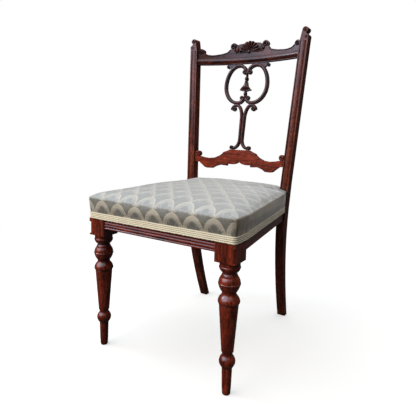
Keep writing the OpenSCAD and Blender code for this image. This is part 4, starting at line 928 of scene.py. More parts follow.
def cover_grid(rows):
    """Rings from the cover's lowest edge up the wall and over the crown to its top, as (ring, row, xyz).

    On the crown each ring is the edge shrunk about the centre by out = 1 - inward, and its rim turns into the
    oval |q / OVAL| = 1 as out^1.5 falls."""
    low = LOW + (NOTCH_LOW - LOW) * rows[:, NOTCHED]
    high = EDGE + REAR_RISE * rows[:, RISES]
    rings = []
    for share, bulge in zip(wall_share, wall_bulge):
        z = low + (high - low) * share
        out = AT_RAILS + (BULGE - AT_RAILS) * bulge * rows[:, FULL]
        rings.append(np.column_stack([plan(rows, z, out), z]))
    edge = rings[-1]
    for inward, rise in zip(crown_in, crown_rise):
        out = 1 - inward
        q = edge[:, :2] - CROWN_CENTRE
        oval = 1 / np.linalg.norm(q / OVAL, axis=1, keepdims=True)
        c = CROWN_CENTRE + q * out * (oval + (1 - oval) * out ** OVAL_POWER)
        rings.append(np.column_stack([c, edge[:, 2] + (CROWN_TOP - edge[:, 2]) * rise]))
    return np.stack(rings)


def grid_normals(grid):
    """Unit normals of a grid of closed rings: the cross product of its two directions."""
    along = np.roll(grid, -1, axis=1) - np.roll(grid, 1, axis=1)
    up = np.gradient(grid, axis=0)
    n = np.cross(along, up)
    n /= np.maximum(np.linalg.norm(n, axis=2, keepdims=True), 1e-9)
    n[-1] = (0, 0, 1)
    return n


def worked(grid, rows):
    """The form with its marks, each moved along the cover's normals.

    Lumps are three slow waves of 0.25 to 0.45 mm. Puckers are 0.55 mm * |sin|^3, one every 26.5 mm round the
    seat, fading over 11 mm above the braid. The pleat lies 34 degrees round each front corner: a groove of
    1.9 mm and a ridge of 0.8 mm beside it, both bell curves over the angle, gone 6 mm above the edge."""
    x, y, z = grid[..., 0], grid[..., 1], grid[..., 2]
    lump = (0.45 * np.sin(x / 31 + 0.7) * np.cos(y / 43 - 0.4) + 0.35 * np.sin((x + 1.7 * y) / 57)
            + 0.25 * np.cos((1.3 * x - y) / 24 + 1.0))
    run = along_rows(rows[:, :2])
    fading = np.exp(-np.clip(z - BRAID_TOP, 0, None) / 11)
    pucker = -0.55 * np.abs(np.sin(math.pi * run / 26.5 + 0.8 * np.sin(run / 61))) ** 3
    pucker = pucker * fading * rows[:, FULL]
    angle = np.degrees(np.arctan2(rows[:, OUT_Y], np.abs(rows[:, OUT_X])))
    at_corner = (angle > -89) & (angle < -1) & (rows[:, AT_Y] < BEND_Y)
    across = np.where(at_corner, angle + PLEAT_DEG, 99)
    raised = 0.8 * np.exp(-((across + 9) / 8) ** 2)
    groove = -1.9 * np.exp(-(np.clip(across, -3, None) / 5.0) ** 2) * (across > -3.5)
    pleat = (raised + groove) * np.clip((EDGE + 6 - z) / 26, 0, 1)
    over_braid = np.clip((z - BRAID_TOP) / 5, 0, 1)
    free = np.clip(rows[:, FULL], 0, 1) * over_braid
    on_wall = (np.arange(len(grid)) < WALL_ROWS)[:, None]
    move = lump * np.where(on_wall, free, 1 - rows[:, NOTCHED] * np.clip((EDGE + 20 - z) / 20, 0, 1) * 0.8)
    move = move + np.where(on_wall, pucker * over_braid + pleat * free, pleat * rows[:, FULL])
    return grid + grid_normals(grid) * move[..., None]


# %% [markdown]
# The stuffing's pressure
#
# A stuffed-over seat gets its form from hair that presses outwards against a cloth tacked all round.
# Blender's cloth can do just that: an even pressure inside, no gravity, and pins below the top of the
# braid. The cloth swells, so it starts from a form that is drawn in a little. It runs on a closed copy in
# even voxels, because a grid that crowds at its pole would swell unevenly. A surface deform carries its
# movement over to the grid, and the movement is held under 4 mm, so the seat keeps the outline that its
# rails give it.

# %% Scratch objects for the simulation
SIM_VOXEL, SIM_FRAMES, SIM_PRESSURE, SIM_CAP, DRAWN_IN = 6.0, 20, 0.35, 4.0, 2.0


def scratch_object(name, points, faces):
    """An object for the simulation only, in metres from millimetres."""
    mesh = bpy.data.meshes.new(name)
    mesh.from_pydata((points / 1000).tolist(), [], faces)
    thing = bpy.data.objects.new(name, mesh)
    bpy.context.scene.collection.objects.link(thing)
    return thing


def evaluated_points(thing):
    """The object's points as its modifiers leave them, in millimetres."""
    mesh = thing.evaluated_get(bpy.context.evaluated_depsgraph_get()).data
    co = np.empty(len(mesh.vertices) * 3)
    mesh.vertices.foreach_get("co", co)
    return co.reshape(-1, 3) * 1000


def closed_by_fans(grid):
    """The grid of rings as a closed shell: its last ring becomes one point, and a fan closes it below."""
    rings, cols = grid.shape[:2]
    last, c = (rings - 1) * cols, np.arange(cols)
    d = (c + 1) % cols
    points = np.concatenate([grid[:-1].reshape(-1, 3), [grid[0].mean(axis=0), grid[-1, 0]]])
    bottom = np.stack([d, c, np.full(cols, last)], axis=-1)
    top = np.stack([c + last - cols, d + last - cols, np.full(cols, last + 1)], axis=-1)
    return points, grid_faces(rings - 1, cols, wrap_cols=True).tolist() + bottom.tolist() + top.tolist()


def even_pad(points, faces):
    """A copy of a closed shell remeshed in even voxels, with the points below the braid's top as pins."""
    rough = scratch_object("rough_pad", points, faces)
    remesh = rough.modifiers.new("even", "REMESH")
    remesh.mode, remesh.voxel_size = "VOXEL", SIM_VOXEL / 1000
    mesh = bpy.data.meshes.new_from_object(rough.evaluated_get(bpy.context.evaluated_depsgraph_get()))
    pad = bpy.data.objects.new("pressed_pad", mesh)
    bpy.context.scene.collection.objects.link(pad)
    pins = pad.vertex_groups.new(name="tacked")
    pins.add(np.flatnonzero(evaluated_points(pad)[:, 2] < BRAID_TOP).tolist(), 1.0, "REPLACE")
    return rough, pad


# %% Cover simulation
def pressed_out(grid, rows):
    """The grid drawn in, plus the movement of a cloth under pressure: move * min(1, cap / |move|) * loose.

    loose is 0 where a wall has no share of the bulge, at the posts, and 1 where it has all. The grid is drawn
    in toward the middle on the walls and downward on the crown, and not at all below the braid's top."""
    held = np.concatenate([np.ones(WALL_ROWS), np.clip(1 - crown_in / 0.15, 0, 1)])
    loose = (1 - (1 - np.clip(rows[:, FULL], 0, 1)) * held[:, None])[..., None]
    q = grid[..., :2] - CROWN_CENTRE
    upward = np.concatenate([np.zeros(WALL_ROWS), np.clip(crown_in / 0.3, 0, 1)])[:, None, None]
    outward = q / np.maximum(np.linalg.norm(q, axis=2, keepdims=True), 1) * (1 - upward)
    outward = np.concatenate([outward, np.broadcast_to(upward, grid.shape[:2] + (1,))], axis=2)
    start = grid - outward * DRAWN_IN * loose * np.clip((grid[..., 2:] - BRAID_TOP) / 12, 0, 1)
    rough, pad = even_pad(*closed_by_fans(start))

    fine = scratch_object("carried_grid", start.reshape(-1, 3), [])
    carry = fine.modifiers.new("carry", "SURFACE_DEFORM")
    carry.target = pad
    with bpy.context.temp_override(object=fine, active_object=fine, selected_objects=[fine]):
        bpy.ops.object.surfacedeform_bind(modifier=carry.name)
    cloth = pad.modifiers.new("pressure", "CLOTH")
    cloth.settings.vertex_group_mass = "tacked"
    cloth.settings.use_pressure = True
    cloth.settings.uniform_pressure_force = SIM_PRESSURE
    cloth.settings.effector_weights.gravity = 0
    cloth.point_cache.frame_end = SIM_FRAMES
    for tick in range(1, SIM_FRAMES + 1):
        bpy.context.scene.frame_set(tick)
    move = evaluated_points(fine).reshape(start.shape) - start
    bpy.context.scene.frame_set(1)

    size = np.linalg.norm(move, axis=2, keepdims=True)
    print("simulated cloth:", len(pad.data.vertices), "points, bound:", carry.is_bound)
    print("movement in mm: mean", round(float(size.mean()), 2), "largest", round(float(size.max()), 2),
          "every sixth ring", np.round(size[::6, :, 0].mean(axis=1), 1))
    for thing in (fine, pad, rough):
        mesh = thing.data
        bpy.data.objects.remove(thing)
        bpy.data.meshes.remove(mesh)
    return start + move * np.minimum(1, SIM_CAP / np.maximum(size, 1e-6)) * loose


cover_form = worked(pressed_out(cover_grid(outline), outline), outline)
wall = along_rows(cover_form[:WALL_ROWS, 0])
print("cover rings and columns:", cover_form.shape[:2], "top", round(cover_form[..., 2].max(), 1))
above_braid = wall[-1] - wall[wall_share < BRAIDED_SHARE][-1]
print("front wall above the braid, along the cloth:", round(above_braid, 1), "mm")

# %% [markdown]
# The cover's cloth
#
# The damask is cut from one flat piece, so its pattern runs over the crown without a break and straight
# down each wall. The map below is that flat piece in millimetres: on the crown it is the plan, and each
# wall goes on from the edge by its own length. Where the front wall meets a side wall, the pleat hides the
# jump.

# %% Cloth map
def cloth_map(grid, rows):
    """For each face column, the cloth's (u, v) at its left and right grid points, in millimetres."""
    down = np.zeros(grid.shape[:2])
    lengths = np.linalg.norm(np.diff(grid[:WALL_ROWS], axis=0), axis=2)
    down[:WALL_ROWS - 1] = np.cumsum(lengths[::-1], axis=0)[::-1]
    base = grid[..., :2].copy()
    base[:WALL_ROWS] = grid[WALL_ROWS - 1, :, :2]
    mid = (rows[:, :2] + np.roll(rows[:, :2], -1, axis=0)) / 2
    # The front's cloth ends at the pleat
    angle = np.degrees(np.arctan2(mid[:, 1] - FRONT_Y - CORNER_R, np.abs(mid[:, 0]) - HALF_W + CORNER_R))
    front = (mid[:, 1] < BEND_Y) & ((np.abs(mid[:, 0]) < HALF_W - CORNER_R) | (angle < -PLEAT_DEG))
    rear = mid[:, 1] > REAR_Y - 1
    side = np.stack([np.sign(mid[:, 0]) * SIDE_NORMAL[0], np.full(len(mid), SIDE_NORMAL[1])], axis=1)
    normal = np.where(front[:, None], (0, -1), np.where(rear[:, None], (0, 1), side))
    left = base + down[..., None] * normal
    right = np.roll(base, -1, axis=1) + np.roll(down, -1, axis=1)[..., None] * normal
    return np.stack([left[:-1], right[:-1], right[1:], left[1:]], axis=2).reshape(-1, 2)


def skin(outer, inner, uv=None):
    """A closed skin from two grids of closed rings, each ending in a pole, joined along their first rings."""
    rings, cols = outer.shape[:2]
    faces, shift = grid_faces(rings, cols, wrap_cols=True), rings * cols
    c = np.arange(cols)
    d = (c + 1) % cols
    rim = np.stack([c, d, d + shift, c + shift], axis=-1)
    shell = (np.concatenate([outer.reshape(-1, 3), inner.reshape(-1, 3)]),
             np.concatenate([faces, faces[:, ::-1] + shift, rim]))
    if uv is None:
        return shell, None
    quads = uv.reshape(-1, 4, 2)
    return shell, np.concatenate([quads, quads[:, ::-1], quads[:cols]]).reshape(-1, 2)


# %% [markdown]
# Damask
#
# The cover is a figured damask in grey-green and beige, in rows of overlapping arches like fish scales,
# each row half a repeat beside the last. An arch has a beige border of small petals round a darker ragged
# palmette. The nodes work on the flat cloth: a floor gives the row, a fraction gives the place across an
# arch, and a power sum tells whether a point lies inside its arch or belongs to the row above. On the
# crown, where the light lies flat on the cloth, only the outer line of each border stands out, so the
# petals are drawn weaker there. A real rib is about 0.4 mm. Here it is drawn at 2.4 mm, the finest that
# shows at this distance.

# %% Damask material
# An arch's width and height and the first row's place on the cloth, and the drawn rib, all in mm
ARCH_W, ARCH_H, FIRST_ROW_V, RIB = 56.0, 36.0, -290.0, 2.4
woven_damask, tree, surface = new_material("woven_damask")
cloth = add(tree, "UVMap", uv_map="cloth")
shifted = add(tree, "VectorMath", {0: cloth}, {1: (0, -FIRST_ROW_V, 0)}, operation="ADD")
repeats = add(tree, "VectorMath", {0: shifted}, {1: (1 / ARCH_W, 1 / ARCH_H, 0)}, operation="MULTIPLY")
uv = add(tree, "SeparateXYZ", {0: repeats})
row = add(tree, "Math", {0: uv.outputs["Y"]}, operation="FLOOR")
offset = add(tree, "Math", {0: row}, {1: 0.5, 2: 0.5}, operation="MULTIPLY_ADD")
beside = add(tree, "Math", {0: uv.outputs["X"], 1: offset}, operation="ADD")
beside = add(tree, "Math", {0: beside}, operation="FRACT")
across = add(tree, "Math", {0: beside}, {1: 2.0, 2: -1.0}, operation="MULTIPLY_ADD")
up = add(tree, "Math", {0: uv.outputs["Y"], 1: row}, operation="SUBTRACT")
wide = add(tree, "Math", {0: across}, operation="ABSOLUTE")
wide = add(tree, "Math", {0: wide}, {1: 1.7}, operation="POWER")
tall = add(tree, "Math", {0: up}, {1: 1.9}, operation="POWER")
reach = add(tree, "Math", {0: wide, 1: tall}, operation="ADD")
reach = add(tree, "Math", {0: reach}, {1: 0.55}, operation="POWER")
above_arch = add(tree, "Math", {0: reach}, {1: 1.0}, operation="GREATER_THAN")
side_of = add(tree, "Math", {0: across}, operation="SIGN")
half_step = add(tree, "Math", {0: side_of, 1: above_arch}, operation="MULTIPLY")
scale_x = add(tree, "Math", {0: across, 1: half_step}, operation="SUBTRACT")
scale_y = add(tree, "Math", {0: up, 1: above_arch}, operation="SUBTRACT")

# The border: a scalloped line round the arch, and inside it a row of petals, parted by dark nicks and weaker
# where the cloth faces up
turned = add(tree, "Math", {0: up, 1: across}, operation="ARCTAN2")
petal_turn = add(tree, "Math", {0: turned}, {1: 22.0}, operation="MULTIPLY")
petals = add(tree, "Math", {0: petal_turn}, operation="COSINE")
inner_edge = add(tree, "Math", {0: petals}, {1: 0.035, 2: 0.64}, operation="MULTIPLY_ADD")
past_edge = add(tree, "Math", {0: reach, 1: inner_edge}, operation="SUBTRACT")
band = add(tree, "MapRange", {"Value": past_edge}, {"From Min": -0.02, "From Max": 0.03})
band_end = add(tree, "MapRange", {"Value": reach},
               {"From Min": 0.87, "From Max": 0.90, "To Min": 1.0, "To Max": 0.0})
band = add(tree, "Math", {0: band, 1: band_end}, operation="MULTIPLY")
nick = add(tree, "MapRange", {"Value": petals},
           {"From Min": 0.3, "From Max": 1.0, "To Min": 0.8, "To Max": 0.35})
band = add(tree, "Math", {0: band, 1: nick}, operation="MULTIPLY")
facing = add(tree, "NewGeometry")
facing = add(tree, "SeparateXYZ", {0: facing.outputs["Normal"]})
petals_show = add(tree, "MapRange", {"Value": facing.outputs["Z"]},
                  {"From Min": 0.1, "From Max": 0.7, "To Min": 1.0, "To Max": 0.35})
band = add(tree, "Math", {0: band, 1: petals_show}, operation="MULTIPLY")
line = add(tree, "MapRange", {"Value": reach}, {"From Min": 0.86, "From Max": 0.90})
scallop = add(tree, "Math", {0: petals, 2: reach}, {1: 0.012}, operation="MULTIPLY_ADD")
line_end = add(tree, "MapRange", {"Value": scallop},
               {"From Min": 0.965, "From Max": 0.99, "To Min": 1.0, "To Max": 0.0})
line = add(tree, "Math", {0: line, 1: line_end}, operation="MULTIPLY")
border = add(tree, "Math", {0: band, 1: line}, operation="MAXIMUM")

# The palmette: a fan of seven leaves about a point a little below the arch's foot, with a ragged edge
ragged = add(tree, "TexNoise", {"Vector": cloth}, {"Scale": 0.42, "Detail": 2.0})
foot = add(tree, "Math", {0: scale_y}, {1: ARCH_H / ARCH_W * 2, 2: 0.36}, operation="MULTIPLY_ADD")
fan_turn = add(tree, "Math", {0: scale_x, 1: foot}, operation="ARCTAN2")
fan = add(tree, "Math", {0: fan_turn}, {1: 3.5}, operation="MULTIPLY")
fan = add(tree, "Math", {0: fan}, operation="COSINE")
fan = add(tree, "Math", {0: fan}, operation="ABSOLUTE")
from_foot = add(tree, "CombineXYZ", {"X": scale_x, "Y": foot})
from_foot = add(tree, "VectorMath", {0: from_foot}, operation="LENGTH")
tip = add(tree, "Math", {0: fan}, {1: 0.34, 2: 0.62}, operation="MULTIPLY_ADD")
tip = add(tree, "Math", {0: ragged, 2: tip}, {1: 0.35}, operation="MULTIPLY_ADD")
leaf_edge = add(tree, "Math", {0: tip, 1: from_foot}, operation="SUBTRACT")
palmette = add(tree, "MapRange", {"Value": leaf_edge}, {"From Min": 0.0, "From Max": 0.07})
vein = add(tree, "MapRange", {"Value": fan},
           {"From Min": 0.0, "From Max": 0.28, "To Min": 0.55, "To Max": 0.0})
vein = add(tree, "Math", {0: vein, 1: palmette}, operation="MULTIPLY")

# Damask shows its figure by the gloss of its long threads. Seen along them, as on the cover's two side walls,
# the figure nearly goes
sideways = add(tree, "Math", {0: facing.outputs["X"]}, operation="ABSOLUTE")
sideways = add(tree, "MapRange", {"Value": sideways}, {"From Min": 0.5, "From Max": 0.92})
figured = add(tree, "MapRange", {"Value": sideways}, {"To Min": 1.0, "To Max": 0.25})
border = add(tree, "Math", {0: border, 1: figured}, operation="MULTIPLY")
palmette = add(tree, "Math", {0: palmette, 1: figured}, operation="MULTIPLY")

# Threads: ribs across the cloth, and slubs that make single ribs lighter or darker for a while
threads = add(tree, "SeparateXYZ", {0: cloth})
rib = add(tree, "Math", {0: threads.outputs["Y"]}, {1: 2 * math.pi / RIB}, operation="MULTIPLY")
rib = add(tree, "Math", {0: rib}, operation="SINE")
slub_at = add(tree, "VectorMath", {0: cloth}, {1: (0.03, 0.75, 1)}, operation="MULTIPLY")
slub = add(tree, "TexNoise", {"Vector": slub_at}, {"Scale": 1.0, "Detail": 3.0})
soiled = add(tree, "TexNoise", {"Vector": cloth}, {"Scale": 0.012, "Detail": 4.0})
colour = add(tree, "Mix", {0: palmette}, {6: linear("#98948a"), 7: linear("#79756b")}, data_type="RGBA")
colour = add(tree, "Mix", {0: vein, 6: colour}, {7: linear("#aaa190")}, data_type="RGBA")
colour = add(tree, "Mix", {0: border, 6: colour}, {7: linear("#c0b39d")}, data_type="RGBA")
# Painted sheen: where the cloth faces up, its colour is mixed toward a cooler and more even pale grey than
# the walls, whose sides also show the brown weft
upward = add(tree, "MapRange", {"Value": facing.outputs["Z"]},
             {"From Min": 0.1, "From Max": 0.7, "To Min": 0.0, "To Max": 0.42})
colour = add(tree, "Mix", {0: upward, 6: colour}, {7: linear("#a6aaaa")}, data_type="RGBA")
weft = add(tree, "Mix", {0: sideways}, {6: (1, 1, 1, 1), 7: (0.84, 0.67, 0.46, 1)}, data_type="RGBA")
colour = add(tree, "Mix", {6: colour, 7: weft}, {0: 1.0}, data_type="RGBA", blend_type="MULTIPLY")
# Painted shade of the ribs: each rib's colour rises and falls by 3.5% with its relief
shade = add(tree, "Math", {0: rib}, {1: 0.035, 2: 1.0}, operation="MULTIPLY_ADD")
slub_shade = add(tree, "MapRange", {"Value": slub},
                 {"From Min": 0.3, "From Max": 0.7, "To Min": 0.82, "To Max": 1.1})
soil_shade = add(tree, "MapRange", {"Value": soiled},
                 {"From Min": 0.35, "From Max": 0.7, "To Min": 0.93, "To Max": 1.03})
shade = add(tree, "Math", {0: shade, 1: slub_shade}, operation="MULTIPLY")
shade = add(tree, "Math", {0: shade, 1: soil_shade}, operation="MULTIPLY")
colour = add(tree, "VectorMath", {0: colour, 1: shade}, operation="MULTIPLY")
float_gloss = add(tree, "MapRange", {"Value": border}, {"To Min": 0.58, "To Max": 0.8})
thread_bump = add(tree, "Math", {0: rib, 2: border}, {1: 0.5}, operation="MULTIPLY_ADD")
weave = add(tree, "Bump", {"Height": thread_bump}, {"Strength": 0.35, "Distance": 0.0004})
shader = add(tree, "BsdfPrincipled", {"Base Color": colour, "Roughness": float_gloss, "Normal": weave},
             {"IOR": 1.45, "Specular IOR Level": 0.35, "Sheen Weight": 0.6, "Sheen Roughness": 0.4,
              "Sheen Tint": (1.0, 0.99, 0.95, 1.0)})
tree.links.new(shader.outputs[0], surface)
print("damask:", ARCH_W, "by", ARCH_H, "mm an arch,", len(tree.nodes), "nodes")

# %% Cover piece
CLOTH_T = 0.7
cover_inner = cover_form - grid_normals(cover_form) * CLOTH_T
cover_shell, cover_uv = skin(cover_form, cover_inner, cloth_map(cover_form, outline))
damask_cover = make_piece("damask_cover", cover_shell, woven_damask, ["seat_cover"], cover_uv)

# %% [markdown]
# Stuffing
#
# Under the cover lies a firm pad of curled hair with a sheet of wadding over it. It takes the cover's own
# form, drawn in by the cloth's thickness and half a millimetre, and is flat below where it lies on the
# hessian. None of it shows while the cover is on, but it has its matted fibres all the same.

# %% Stuffing pad
hair_and_wadding, tree, surface = new_material("hair_and_wadding")
spot = add(tree, "TexCoord")
tufts = add(tree, "TexNoise", {"Vector": spot.outputs["Object"]}, {"Scale": 90.0, "Detail": 5.0})
fibres = add(tree, "TexNoise", {"Vector": spot.outputs["Object"]},
             {"Scale": 420.0, "Detail": 3.0, "Distortion": 2.5})
tone = add(tree, "Mix", {0: tufts}, {6: linear("#bfa98a"), 7: linear("#ded0b4")}, data_type="RGBA")
strand = add(tree, "MapRange", {"Value": fibres},
             {"From Min": 0.45, "From Max": 0.62, "To Min": 1.0, "To Max": 0.62})
tone = add(tree, "VectorMath", {0: tone, 1: strand}, operation="MULTIPLY")
fuzz = add(tree, "Bump", {"Height": fibres}, {"Strength": 0.6, "Distance": 0.001})
shader = add(tree, "BsdfPrincipled", {"Base Color": tone, "Normal": fuzz},
             {"Roughness": 0.95, "Sheen Weight": 0.3, "Sheen Roughness": 0.6})
tree.links.new(shader.outputs[0], surface)

STUFFING_LOW, UNDER_COVER = 395.75, 1.2


def stuffing_grid(cover, rows):
    """The cover's rings above the pad's base, drawn in, over flat rings that shrink to the middle."""
    drawn_in = cover - grid_normals(cover) * UNDER_COVER
    first = int(np.argmax(drawn_in[:WALL_ROWS, 0, 2] > STUFFING_LOW + 2))
    upper = drawn_in[first:].copy()
    upper[..., 2] = np.maximum(upper[..., 2], STUFFING_LOW + 0.4)
    low = np.full(len(rows), STUFFING_LOW)
    base = plan(rows, low, AT_RAILS - UNDER_COVER, UNDER_COVER)
    below = [np.column_stack([CROWN_CENTRE + (base - CROWN_CENTRE) * share, low])
             for share in (0.0, 0.25, 0.5, 0.75, 0.9, 0.97, 1.0)]
    return np.concatenate([np.stack(below), upper])


stuffing = stuffing_grid(cover_form, outline)
stuffing_shell = stuffing.reshape(-1, 3), grid_faces(*stuffing.shape[:2], wrap_cols=True)
stuffing_pad = make_piece("stuffing_pad", stuffing_shell, hair_and_wadding,
                          ["seat_stuffing"])

# %% [markdown]
# Hessian and webbing
#
# The hair rests on a sheet of hessian, a coarse plain-woven jute, stretched and tacked over eight straps of
# jute webbing. The straps cross over and under each other like a basket. Each is a flat band with rounded
# edges, carried along a line that steps up and down at the crossings. From below these are what one sees of
# a seat.
#
# Both weaves are drawn by the material: two sets of sine waves, one along and one across, take turns in
# lying on top. Hessian has about five yarns to the centimetre. Webbing is closer, with a dark stripe near
# either edge.

# %% Jute materials
STRIPE_HALF = 1.6


def jute(name, pale, dark, yarn_mm, stripes=()):
    """Woven jute. Yarns are |sin(pi x / yarn)| and |sin(pi y / yarn)|, which take turns in lying on top.

    stripes are places across the strap, in mm from its middle, that carry a dark yarn."""
    material, tree, surface = new_material(name)
    cloth = add(tree, "UVMap", uv_map="cloth")
    wave = add(tree, "VectorMath", {0: cloth}, {1: [math.pi / yarn_mm] * 3}, operation="MULTIPLY")
    wave = add(tree, "VectorMath", {0: wave}, operation="SINE")
    waves = add(tree, "SeparateXYZ", {0: wave})
    over = add(tree, "Math", {0: waves.outputs["X"], 1: waves.outputs["Y"]}, operation="MULTIPLY")
    on_top = add(tree, "Math", {0: over}, {1: 0.0}, operation="GREATER_THAN")
    high = add(tree, "VectorMath", {0: wave}, operation="ABSOLUTE")
    yarns = add(tree, "SeparateXYZ", {0: high})
    yarn = add(tree, "Mix", {0: on_top, 2: yarns.outputs["X"], 3: yarns.outputs["Y"]})
    slub = add(tree, "TexNoise", {"Vector": cloth}, {"Scale": 0.11, "Detail": 4.0})
    tone = add(tree, "Mix", {0: slub}, {6: linear(dark), 7: linear(pale)}, data_type="RGBA")
    # Painted shade: the gaps between the yarns are darkened to about a third of the yarns' tone
    yarn_gap_shade = add(tree, "MapRange", {"Value": yarn},
              {"From Min": 0.0, "From Max": 0.7, "To Min": 0.35, "To Max": 1.05})
    tone = add(tree, "VectorMath", {0: tone, 1: yarn_gap_shade}, operation="MULTIPLY")
    across = add(tree, "SeparateXYZ", {0: cloth})
    for at in stripes:
        near = add(tree, "Math", {0: across.outputs["Y"]}, {1: at, 2: STRIPE_HALF}, operation="COMPARE")
        tone = add(tree, "Mix", {0: near, 6: tone}, {7: linear("#4a3322")}, data_type="RGBA")
    bump = add(tree, "Bump", {"Height": yarn}, {"Strength": 0.7, "Distance": 0.0005})
    shader = add(tree, "BsdfPrincipled", {"Base Color": tone, "Normal": bump},
                 {"Roughness": 0.9, "IOR": 1.45, "Sheen Weight": 0.2, "Sheen Roughness": 0.5})
    tree.links.new(shader.outputs[0], surface)
    return material


plain_hessian = jute("plain_hessian", "#b79a68", "#8d7145", 2.0)
jute_webbing = jute("jute_webbing", "#a98d60", "#84693f", 1.8, (-17.0, 17.0))
print("jute:", len(plain_hessian.node_tree.nodes), "and", len(jute_webbing.node_tree.nodes), "nodes")

# %% Hessian
HESSIAN_LOW, HESSIAN_HIGH, HESSIAN_IN = 394.65, 395.30, 5.0


def hessian_grids(rows):
    """The cloth's lower and upper face: rings from its outline, 5 mm inside the cover, to the middle."""
    edge = plan(rows, np.full(len(rows), HESSIAN_LOW), AT_RAILS - HESSIAN_IN, HESSIAN_IN)
    flat = CROWN_CENTRE + (edge - CROWN_CENTRE) * np.linspace(1, 0, 30)[:, None, None]
    return edge, *[np.concatenate([flat, np.full((*flat.shape[:2], 1), z)], axis=2)
                   for z in (HESSIAN_HIGH, HESSIAN_LOW)]


hessian_edge, hessian_top, hessian_under = hessian_grids(outline)
hessian_shell, _ = skin(hessian_top, hessian_under)
hessian_uv = hessian_shell[0][hessian_shell[1].ravel(), :2]
hessian = make_piece("stretched_hessian", hessian_shell, plain_hessian, ["base_hessian"],
                     hessian_uv)
x, y = hessian_edge.T

# %% Webbing straps
RAIL_TOP, STRAP_W, STRAP_T, LAY_GAP, RAMP, FROM_EDGE = 391.0, 50.0, 1.6, 0.15, 4.0, 6.0
LENGTHWISE_X = [-103.11, -34.37, 34.37, 103.11]
CROSSWISE_Y = [-32.5 + step for step in (-128.8, -42.93, 42.93, 128.8)]
STRAP_STEPS, STRAP_AROUND = 200, 40


def strap(start, end, crossings, mid, lengthwise):
    """A band along x or y: its height steps up by one thickness over each crossing of level 1.

    Around it runs a flattened ellipse, |across / 25|^8 + |height / 0.8|^8 = 1."""
    along = np.linspace(start, end, STRAP_STEPS)
    level = np.zeros_like(along)
    for at, high in crossings:
        off = np.abs(along - at) - STRAP_W / 2
        level = np.maximum(level, high * np.clip(1 - off / RAMP, 0, 1))
    level = level * level * (3 - 2 * level)
    a = np.linspace(0, 2 * np.pi, STRAP_AROUND, endpoint=False)
    round_off = (np.abs(np.cos(a)) ** 8 + np.abs(np.sin(a)) ** 8) ** (-1 / 8)
    across = STRAP_W / 2 * np.cos(a) * round_off
    up = STRAP_T / 2 * np.sin(a) * round_off
    s, c = np.broadcast_arrays(along[:, None], across)
    z = RAIL_TOP + STRAP_T / 2 + level[:, None] * (STRAP_T + LAY_GAP) + up
    points = np.stack([mid + c, s, z] if lengthwise else [s, mid + c, z], axis=-1)
    points = np.pad(points, ((1, 1), (0, 0), (0, 0)), mode="edge")
    points[[0, -1]] = points[[0, -1]].mean(axis=1, keepdims=True)
    uv = np.pad(np.stack([s, c], axis=-1), ((1, 1), (0, 0), (0, 0)), mode="edge")
    faces = grid_faces(len(points), STRAP_AROUND, wrap_cols=True)
    return (points.reshape(-1, 3), faces), uv.reshape(-1, 2)[faces.ravel()]


lengthwise, crosswise = [], []
for i, x in enumerate(LENGTHWISE_X):
    over = [(y, (i + j) % 2) for j, y in enumerate(CROSSWISE_Y)]
    lengthwise.append(strap(FRONT_Y + FROM_EDGE, REAR_Y - FROM_EDGE, over, x, True))
for j, y in enumerate(CROSSWISE_Y):
    over = [(x, 1 - (i + j) % 2) for i, x in enumerate(LENGTHWISE_X)]
    end = side_x(y + STRAP_W / 2) - FROM_EDGE
    crosswise.append(strap(-end, end, over, y, False))
for way, straps in (("lengthwise", lengthwise), ("crosswise", crosswise)):
    make_piece("webbing_straps_" + way, joined([shell for shell, _ in straps]), jute_webbing,
               ["seat_webbing_" + way], np.concatenate([uv for _, uv in straps]))

# %% [markdown]
# Braid
#
# A cream gimp covers the tacks: four twisted cords sewn side by side into a band 17 mm wide. It goes once
# round the front and the sides, from post to post, and once across the back. The band is one surface over
# the length and the height: four half-round cords, whose twist stands a little proud. The material paints
# shade into the gaps between the cords and along the strands of each cord, which lean the other way on its
# neighbour, so the rows look like plaits. A thread that has worn loose here and there makes the lower edge
# uneven.

# %% Braid material
# The band's width and cords, one turn of a cord's twist, and how far the twist runs ahead of a cord's middle
# at its border, in radians. A real turn is about half as long, too fine to show
GIMP_W, CORDS, TWIST_MM, LEAN = 17.3, 4, 5.2, 1.57
cream_gimp, tree, surface = new_material("cream_gimp")
cloth = add(tree, "UVMap", uv_map="cloth")
band = add(tree, "SeparateXYZ", {0: cloth})
cords = add(tree, "Math", {0: band.outputs["Y"]}, {1: math.pi * CORDS / GIMP_W}, operation="MULTIPLY")
cords = add(tree, "Math", {0: cords}, operation="SINE")
cords = add(tree, "Math", {0: cords}, operation="ABSOLUTE")
lay = add(tree, "Math", {0: band.outputs["Y"]}, {1: math.pi * CORDS / GIMP_W}, operation="MULTIPLY")
lay = add(tree, "Math", {0: lay}, operation="COSINE")
twist = add(tree, "Math", {0: band.outputs["X"]}, {1: 2 * math.pi / TWIST_MM}, operation="MULTIPLY")
twist = add(tree, "Math", {0: lay, 2: twist}, {1: LEAN}, operation="MULTIPLY_ADD")
twist = add(tree, "Math", {0: twist}, operation="SINE")
worn = add(tree, "TexNoise", {"Vector": cloth}, {"Scale": 0.05, "Detail": 5.0})
tone = add(tree, "Mix", {0: worn}, {6: linear("#e8d6b0"), 7: linear("#fdf2d8")}, data_type="RGBA")
